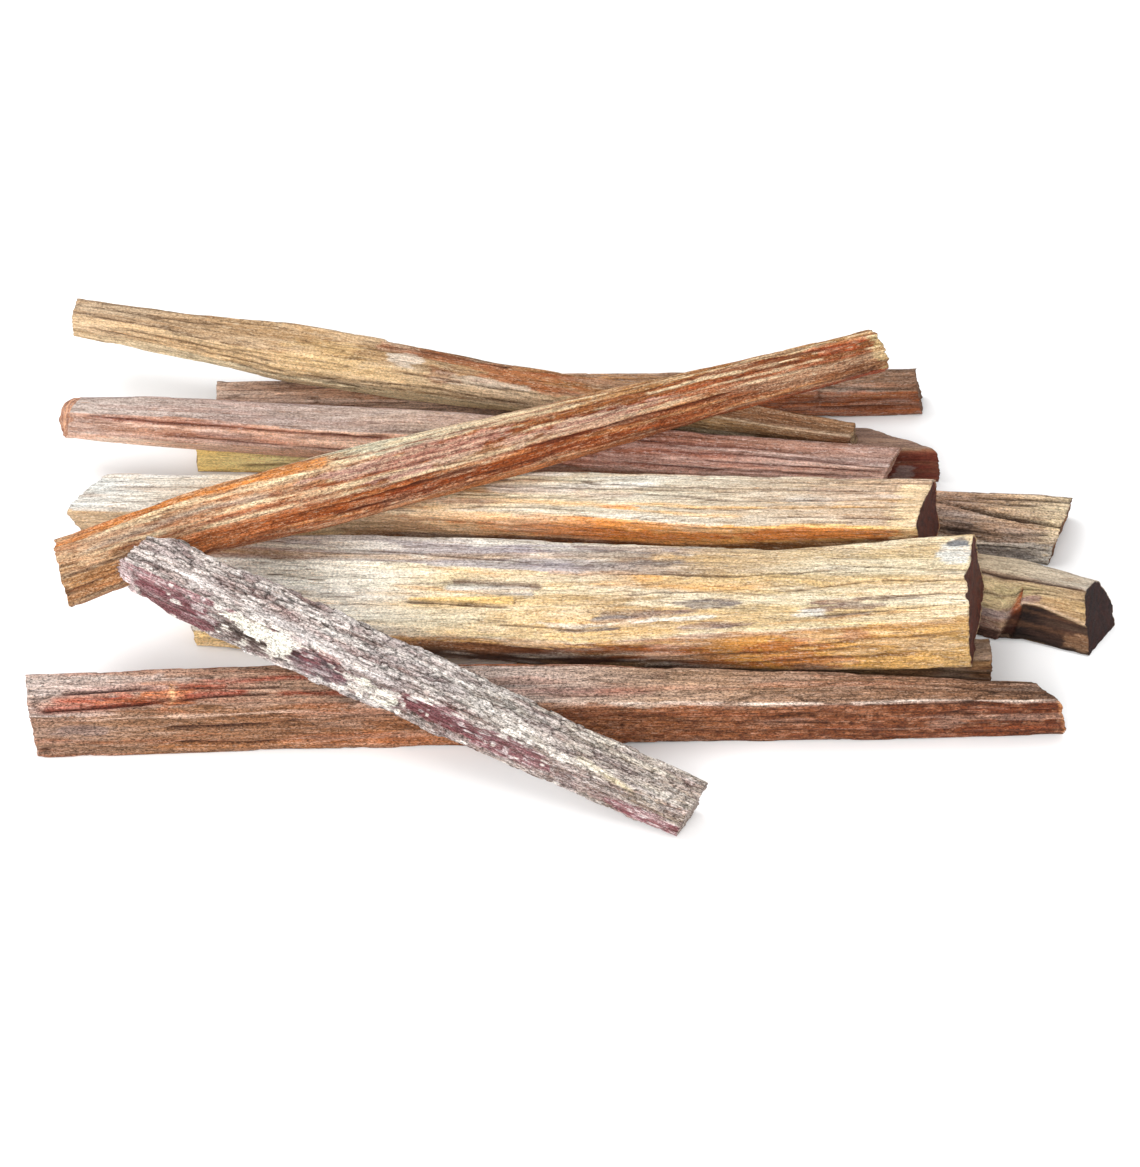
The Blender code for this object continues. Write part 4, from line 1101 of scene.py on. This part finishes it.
def back_brown():
    fine = Fine("back_brown_stick", 0.6, 0.36, 1900, [
        (270, 270, (0, *BROWN)),
        (180, 180, (0, 200, 162, 142), (0.3, 236, 204, 180), (0.7, 216, 124, 70), (1, 130, 72, 39)),
        (98, 106, (0, 196, 166, 146), (0.3, 195, 141, 104), (0.55, 190, 140, 94), (0.8, 178, 140, 112),
         (1, 120, 89, 69)),
        (0, 0, (0, *BROWN)),
    ])
    fine.weather(groove=0.3, strip=0.2)
    fine.cracks(
        (0.8, 1.01, 2.06, 2.06, 0.6, 0.45, 0.4, 200), (0.84, 1.01, 1.45, 1.4, 0.6, 0.45, 0.4, 205),
        (0.0, 0.25, 2.5, 2.5, 0.5, 0.4, 0.4, 210))
    fine.settle()
    # painted highlight: a pale streak along the front arris towards the right end
    fine.streak((196, 140, 92), 0.7, 0.7, 1.0, 1.9, 1.86, 0.9, 0.4, 220)
    fine.streak((96, 50, 30), 0.5, 0.7, 1.0, 1.3, 1.35, 1.0, 0.4, 224)
    fine.finish_tint((120, 66, 40), 0.35, GREY, 0.25)
    finish_stick(fine, "back_brown", "dark_brown_wood", [(BROWN, TAN), (UMBER, BROWN)],
                 roughness=0.76, speck=(*UMBER, 0.5), fleck=GREY, hairline=0.66, grit=0.5, shade=0.22)


def straw():
    fine = Fine("straw_stick", 0.55, 0.33, 2000, [
        (270, 270, (0, *OLIVE), (1, *UMBER)),
        (205, 205, (0, 186, 156, 116), (0.3, 244, 228, 190), (0.5, 236, 216, 176), (1, *UMBER)),
        (163, 163, (0, 200, 170, 134), (0.15, 202, 170, 128), (0.42, 220, 188, 142), (0.55, 212, 184, 150),
         (0.7, 193, 156, 106), (1, 102, 55, 35)),
        (103, 103, (0, 170, 144, 116), (0.35, 168, 132, 90), (0.45, 165, 136, 101), (0.6, 158, 108, 64),
         (0.75, 136, 79, 46), (0.85, 135, 90, 63), (1, 112, 80, 58)),
        (3, 3, (0, *OLIVE), (1, *BROWN)),
    ])
    fine.weather(fibre=0.12, groove=0.25, layer=0.35, strip=0.16)
    for seed, (t0, t1, w0, w1) in enumerate([
            (0.03, 0.2, 3.5, 3.62), (0.02, 0.24, 3.1, 3.0), (0.05, 0.28, 2.65, 2.5), (0.14, 0.36, 2.3, 2.2),
            (0.2, 0.42, 1.95, 1.8), (0.34, 0.6, 2.2, 2.3), (0.42, 0.6, 2.8, 2.86), (0.02, 0.12, 2.3, 2.25)]):
        fine.crack(t0, t1, w0, w1, 0.55, 0.42, 0.6, 200 + 4 * seed)
    notch = fine.torn(0.395, 0.56, 3.55, 4.05, 0.7, 2, 240, 0.2)
    fine.settle()
    fine.paint((140, 78, 48), 0.8 * notch)
    fine.streak((150, 84, 50), 0.7, 0.4, 0.7, 3.6, 3.8, 2.0, 0.5, 250)
    fine.patch((170, 92, 50), 0.6, 0.58, 3.4, 0.07, 0.4, 0.7, (9, 1.2), 1)
    fine.patch((214, 200, 184), 0.75, 0.432, 3.3, 0.022, 0.25, 0.5, (6, 1.2), 2)
    fine.patch((206, 194, 178), 0.6, 0.53, 2.95, 0.05, 0.3, 0.7, (8, 1.2), 3)
    fine.patch((210, 176, 124), 0.5, 0.33, 2.8, 0.06, 0.6, 0.6, (6, 1.5), 4)
    fine.streak((122, 92, 62), 0.7, 0.3, 0.62, 2.02, 2.15, 2.2, 0.5, 254)
    fine.patch((128, 74, 48), 0.6, 0.48, 3.0, 0.02, 0.35, 0.5, (4, 1.0), 5)
    fine.finish_tint((172, 130, 86), 0.22, CREAM, 0.2, 0.7, (84, 56, 36))
    finish_stick(fine, "straw", "straw_wood", [(STRAW, OLIVE), ((170, 140, 104), UMBER)],
                 roughness=0.72, speck=(*UMBER, 0.6), fleck=CREAM, hairline=0.78, dark_line=0.75, grit=0.5,
                 fuzz=0.5, shade=0.15)


def orange_crossing():
    rich, deep, pale = (208, 128, 58), (146, 70, 36), (222, 198, 160)
    fine = Fine("orange_crossing_stick", 0.5, 0.33, 2100, [
        (275, 278, (0, *RUST), (1, *BROWN)),
        (215, 215, (0, 160, 116, 76), (0.2, 176, 100, 58), (0.5, 190, 120, 72), (1, 148, 62, 28)),
        (167, 167, (0, 174, 132, 94), (0.15, 206, 124, 72), (0.4, 132, 56, 18), (0.7, 138, 70, 34),
         (1, 140, 94, 62)),
        (119, 119, (0, 176, 142, 108), (0.2, 176, 124, 86), (0.5, 142, 88, 46), (0.8, 136, 75, 34),
         (1, 122, 72, 34)),
        (73, 73, (0, 181, 135, 97), (0.28, 178, 124, 72), (0.36, 202, 197, 171), (0.5, 192, 178, 149),
         (0.62, 178, 135, 89), (0.8, 168, 112, 60), (1, 190, 152, 100)),
        (357, 357, (0, *ORANGE), (1, *BROWN)),
    ])
    fine.weather(fibre=0.14, groove=0.3, layer=0.25, strip=0.2)
    top, inside = fine.ribs(2.9, 4.8, 1.9, 0.6, 0.05, 1.05, 240)
    low, below = fine.ribs(2.1, 3.0, 2.4, 0.45, -0.1, 1.1, 250)
    fine.cracks(
        (0.0, 0.14, 2.95, 2.9, 0.8, 0.5, 0.5, 260), (0.0, 0.12, 2.45, 2.5, 0.7, 0.5, 0.5, 264),
        (0.25, 0.5, 2.65, 2.6, 0.8, 0.5, 0.5, 268), (0.3, 0.6, 2.25, 2.2, 0.7, 0.5, 0.5, 272),
        (0.55, 0.85, 2.75, 2.8, 0.7, 0.5, 0.5, 276))
    fine.settle((0.7, 0.9), 0.35)
    p = fine.points()
    smooth_strip = fine.blot(0.18, 4.55, 0.2, 0.42, 0.3, (20, 2), 1)
    patchy = ramp(noise(p, 11, 1.2, 2191), -0.3, 0.0) * (1 - smooth_strip)
    fine.paint(pale, 0.88 * ramp(top + 0.2 * noise(p, 3, 0.8, 2192), 0.7, 0.9) * inside * patchy)
    fine.paint((*deep, 0.8), 0.8 * (1 - ramp(top, 0.08, 0.32)) * inside * (1 - smooth_strip))
    fine.paint((214, 156, 104), 0.55 * ramp(low, 0.6, 1.0) * below * ramp(noise(p, 12, 1.5, 2193), -0.3, 0.3))
    fine.paint(rich, 0.85 * smooth_strip)
    fine.streak(pale, 0.9, 0.03, 0.34, 4.02, 3.95, 1.6, 0.4, 280)
    fine.streak((196, 190, 170), 0.85, 0.02, 0.26, 3.62, 3.6, 1.1, 0.4, 284)
    fine.streak(pale, 0.9, 0.26, 0.5, 3.3, 3.2, 0.9, 0.4, 288)
    fine.streak(pale, 0.8, 0.38, 0.78, 2.97, 2.94, 0.8, 0.4, 292)
    fine.patch((190, 150, 140), 0.6, 0.42, 3.6, 0.1, 0.4, 0.7, (12, 1.3), 2)
    fine.patch((196, 160, 146), 0.5, 0.63, 3.2, 0.08, 0.3, 0.7, (12, 1.3), 3)
    fine.patch((178, 96, 42), 0.45, 0.3, 2.6, 0.16, 0.3, 0.7, (14, 1.3), 4)
    fine.patch((170, 92, 42), 0.45, 0.55, 2.4, 0.14, 0.3, 0.7, (14, 1.3), 5)
    fine.patch((188, 82, 42), 0.5, 0.95, 3.9, 0.035, 0.35, 0.8, (5, 1.2), 6)
    fine.patch((226, 202, 140), 0.5, 0.996, 3.2, 0.012, 0.8, 0.6, (3, 0.8), 7)
    left_end = fine.blot(0.03, 2.3, 0.1, 0.9, 0.4, (8, 1.0), 8)
    fine.paint((158, 114, 68), 0.6 * left_end)
    fine.paint((92, 62, 40), 0.75 * left_end * ramp(noise(p, 11, 1.0, 2194), 0.1, 0.45))
    fine.finish_tint((160, 82, 44), 0.3, (218, 192, 160), 0.2, 0.9, (64, 26, 18))
    finish_stick(fine, "orange_crossing", "orange_wood",
                 [((186, 140, 88), (140, 92, 54)), (PALE_GOLD, BROWN)],
                 roughness=0.6, speck=(*OX_RED, 0.5), fleck=(228, 208, 176), hairline=0.68, grit=0.74,
                 shade=0.2)


def scaly_grey():
    fine = Fine("scaly_grey_stick", 0.36, 0.3, 2200, [
        (277, 277, (0, *MAROON), (1, *BROWN)),
        (182, 182, (0, 164, 148, 142), (0.25, 136, 116, 112), (0.6, 132, 108, 97), (0.8, 137, 119, 107),
         (1, 148, 129, 111)),
        (95, 95, (0, 208, 194, 186), (0.5, 188, 180, 174), (1, 196, 184, 166)),
        (0, 0, (0, *GREY)),
    ])
    fine.weather(fibre=0.1, groove=0.2, layer=0.3, strip=0.2)
    p = fine.points()
    bark = np.zeros_like(fine.t)
    for seed, (t, w, dt, dw) in enumerate([
            (0.098, 1.45, 0.078, 0.62), (0.09, 2.0, 0.12, 0.085), (0.352, 1.52, 0.056, 0.44),
            (0.56, 1.62, 0.07, 0.34), (0.685, 1.56, 0.095, 0.36), (0.95, 1.26, 0.09, 0.26)]):
        bark = np.maximum(bark, fine.blot(t, w, dt, dw, 0.2, (4, 1.3), seed))
    arris_band = fine.stripe(0.06, 0.52, 2.42, 1.94, 2.4, 0.4, 200)
    edge, own = plates(fine.s / 3.6 + 0.35 * noise(p, 2, 1, 2231),
                       fine.round_mm() + 0.25 * noise(p, 5, 2, 2232), 2233)
    rough = (1 - 0.9 * bark) * (1 - 0.75 * arris_band) * (1 - 0.2 * ramp(fine.t, 0.42, 0.6))
    gap = np.clip(1 - edge / 0.22, 0, 1)
    fine.sink(rough * (0.7 * (0.5 - own) + 0.45 * gap) + 0.35 * bark - 0.25 * arris_band)
    fine.bite(0, 1.25, 2.8, 0.22)
    fine.settle((0.9, 0.4), 0.45)
    fine.paint((222, 214, 208), 0.4 * rough * ramp(own, 0.66, 0.82))
    fine.paint((120, 92, 90), 0.6 * rough * (1 - ramp(own, 0.12, 0.34)))
    fine.paint((140, 86, 80), 0.4 * rough * ramp(noise(p, 14, 1.6, 2234), 0.25, 0.55))
    clump = noise(p, 6, 2.6, 2230)
    fine.paint((224, 218, 210), 0.22 * rough * ramp(clump, 0.15, 0.5))
    fine.paint((132, 108, 112), 0.36 * rough * ramp(-clump, 0.15, 0.5))
    fine.colour *= (1 - 0.8 * rough * gap)[..., None]
    fine.paint((208, 200, 198), 0.6 * arris_band)
    skin = np.clip(bark * 1.2, 0, 1)
    fine.paint((122, 70, 76), 0.92 * skin)
    fine.paint((138, 46, 62), 0.7 * skin * np.clip(1 - np.abs(fine.w - 2.0) / 0.16, 0, 1) * (fine.t < 0.24))
    fine.paint((104, 44, 52), 0.5 * skin * ramp(noise(p, 6, 2.5, 2235), 0.0, 0.5))
    fine.paint((170, 130, 136), 0.4 * skin * ramp(noise(p, 3, 1.5, 2236), 0.15, 0.6))
    flecks = ramp(noise(p, 2.0, 1.3, 2237) + 0.5 * noise(p, 5, 2.6, 2238), 0.52, 0.62)
    fine.paint((236, 228, 218), 0.8 * flecks * (fine.w < 2.1) * (1 - ramp(fine.t, 0.76, 0.86)))
    specks = ramp(noise(p, 1.6, 0.8, 2244) + 0.5 * noise(p, 6, 2.0, 2245), 0.36, 0.5)
    fine.paint((214, 200, 198), 0.75 * specks * skin * (fine.t > 0.13))
    fine.streak((226, 212, 172), 0.5, 0.79, 0.91, 2.16, 1.84, 1.8, 0.5, 214)
    lichen = np.zeros_like(fine.t)
    for seed, (t, w, dt, dw) in enumerate([
            (0.24, 1.84, 0.056, 0.16), (0.286, 1.72, 0.026, 0.28), (0.435, 1.7, 0.024, 0.14),
            (0.476, 1.38, 0.026, 0.22)]):
        lichen = np.maximum(lichen, fine.blot(t, w, dt, dw, 0.4, (2.2, 1.4), 20 + seed))
    fine.paint((238, 234, 218), 0.9 * lichen * ramp(noise(p, 1.6, 1.1, 2239), -0.6, -0.25))
    dots = noise(p, 1.6, 1.1, 2242)
    fine.paint((52, 36, 42), 0.85 * skin * (1 - lichen) * ramp(-dots, 0.02, 0.2)
               * fine.blot(0.36, 1.5, 0.07, 0.6, 0.2, (3, 1.2), 27))
    mottled = fine.blot(0.243, 1.42, 0.066, 0.32, 0.3, (2.4, 1.4), 24) * (1 - lichen)
    fine.paint((150, 140, 128), 0.7 * mottled)
    fine.paint((64, 52, 48), 0.92 * mottled * ramp(-dots, -0.05, 0.12))
    fine.paint((242, 238, 226), 0.9 * mottled * ramp(dots, 0.16, 0.28))
    fine.paint((74, 58, 64), 0.6 * fine.blot(0.35, 1.35, 0.05, 0.3, 0.5, (3, 1.2), 26)
               * ramp(dots, -0.2, 0.2))
    fine.streak((226, 220, 216), 0.75, 0.18, 0.5, 1.08, 1.1, 1.2, 0.3, 210)
    from_end = fine.t + 0.012 * noise(p, 3, 1.2, 2243) + 0.02 * (fine.w > 1.9)
    fine.paint((212, 184, 184), 0.75 * (1 - ramp(from_end, 0.022, 0.034)) * (fine.w < 2.2))
    fine.patch((150, 60, 52), 0.4, 0.37, 1.95, 0.02, 0.12, 0.6, (2, 1), 25)
    fine.finish_tint((150, 124, 122), 0.25, (220, 212, 208), 0.12, 1.0)
    finish_stick(fine, "scaly_grey", "scaly_grey_wood", [(LILAC, (150, 110, 106)), ((128, 108, 98), GREY)],
                 roughness=0.72, speck=(*UMBER, 0.5), fleck=(226, 220, 216), hairline=0.54, grit=0.92,
                 shade=0.22)


for build in (front_long, buried_wedge, golden, knobbly, grey_wedge, cream, yellow_red, mauve, back_brown,
              straw, orange_crossing, scaly_grey):
    build()


# ---- floor, light and camera ----------------------------------------------------------------------------

# metres from here on
FLOOR_HALF = 4.0
FLOOR_DROP = 0.0001       # how far the floor is under the sticks, so that the faces on it don't flicker
CAMERA_DISTANCE = 1.0
CAMERA_ELEVATION = math.radians(45)
CAMERA_TARGET = (-0.001827, 0.002372, 0.0)
ORIGIN = Vector((0, 0, 0))

floor_mesh = bpy.data.meshes.new("floor")
floor_mesh.from_pydata([(x * FLOOR_HALF, y * FLOOR_HALF, 0) for x, y in ((-1, -1), (1, -1), (1, 1), (-1, 1))],
                       [], [(0, 1, 2, 3)])
floor = put("floor", floor_mesh)
floor.location.z = -FLOOR_DROP
floor_material = bpy.data.materials.new("floor_white")
floor_material.use_nodes = True
floor_shader = floor_material.node_tree.nodes["Principled BSDF"]
floor_shader.inputs["Base Color"].default_value = (0.93, 0.93, 0.93, 1.0)
floor_shader.inputs["Roughness"].default_value = 0.9
floor_shader.inputs["Specular IOR Level"].default_value = 0.0
floor.data.materials.append(floor_material)

world = bpy.data.worlds.new("studio")
world.use_nodes = True
background = world.node_tree.nodes["Background"]
background.inputs["Color"].default_value = (1.0, 1.0, 1.0, 1.0)
background.inputs["Strength"].default_value = 0.84
bpy.context.scene.world = world

for name, place, size, power in (("key_light", (-0.55, 0.20, 0.95), 0.7, 6.5),
                                 ("fill_light", (-0.2, -0.95, 0.6), 0.8, 12.0)):
    light = bpy.data.lights.new(name, "AREA")
    light.shape = "SQUARE"
    light.size = size
    light.energy = power
    lamp = put(name, light)
    lamp.location = place
    lamp.rotation_euler = (ORIGIN - Vector(place)).to_track_quat("-Z", "Y").to_euler()

bpy.context.scene.view_settings.view_transform = "Standard"

camera_data = bpy.data.cameras.new("camera")
camera_data.lens = 131.1
camera_data.sensor_width = 36.0
camera_data.clip_start = 0.05
camera_data.clip_end = 20.0
camera = put("camera", camera_data)
camera.location = (CAMERA_TARGET[0], CAMERA_TARGET[1] - CAMERA_DISTANCE * math.cos(CAMERA_ELEVATION),
                   CAMERA_TARGET[2] + CAMERA_DISTANCE * math.sin(CAMERA_ELEVATION))
camera.rotation_euler = (math.pi / 2 - CAMERA_ELEVATION, 0, 0)
bpy.context.scene.camera = camera
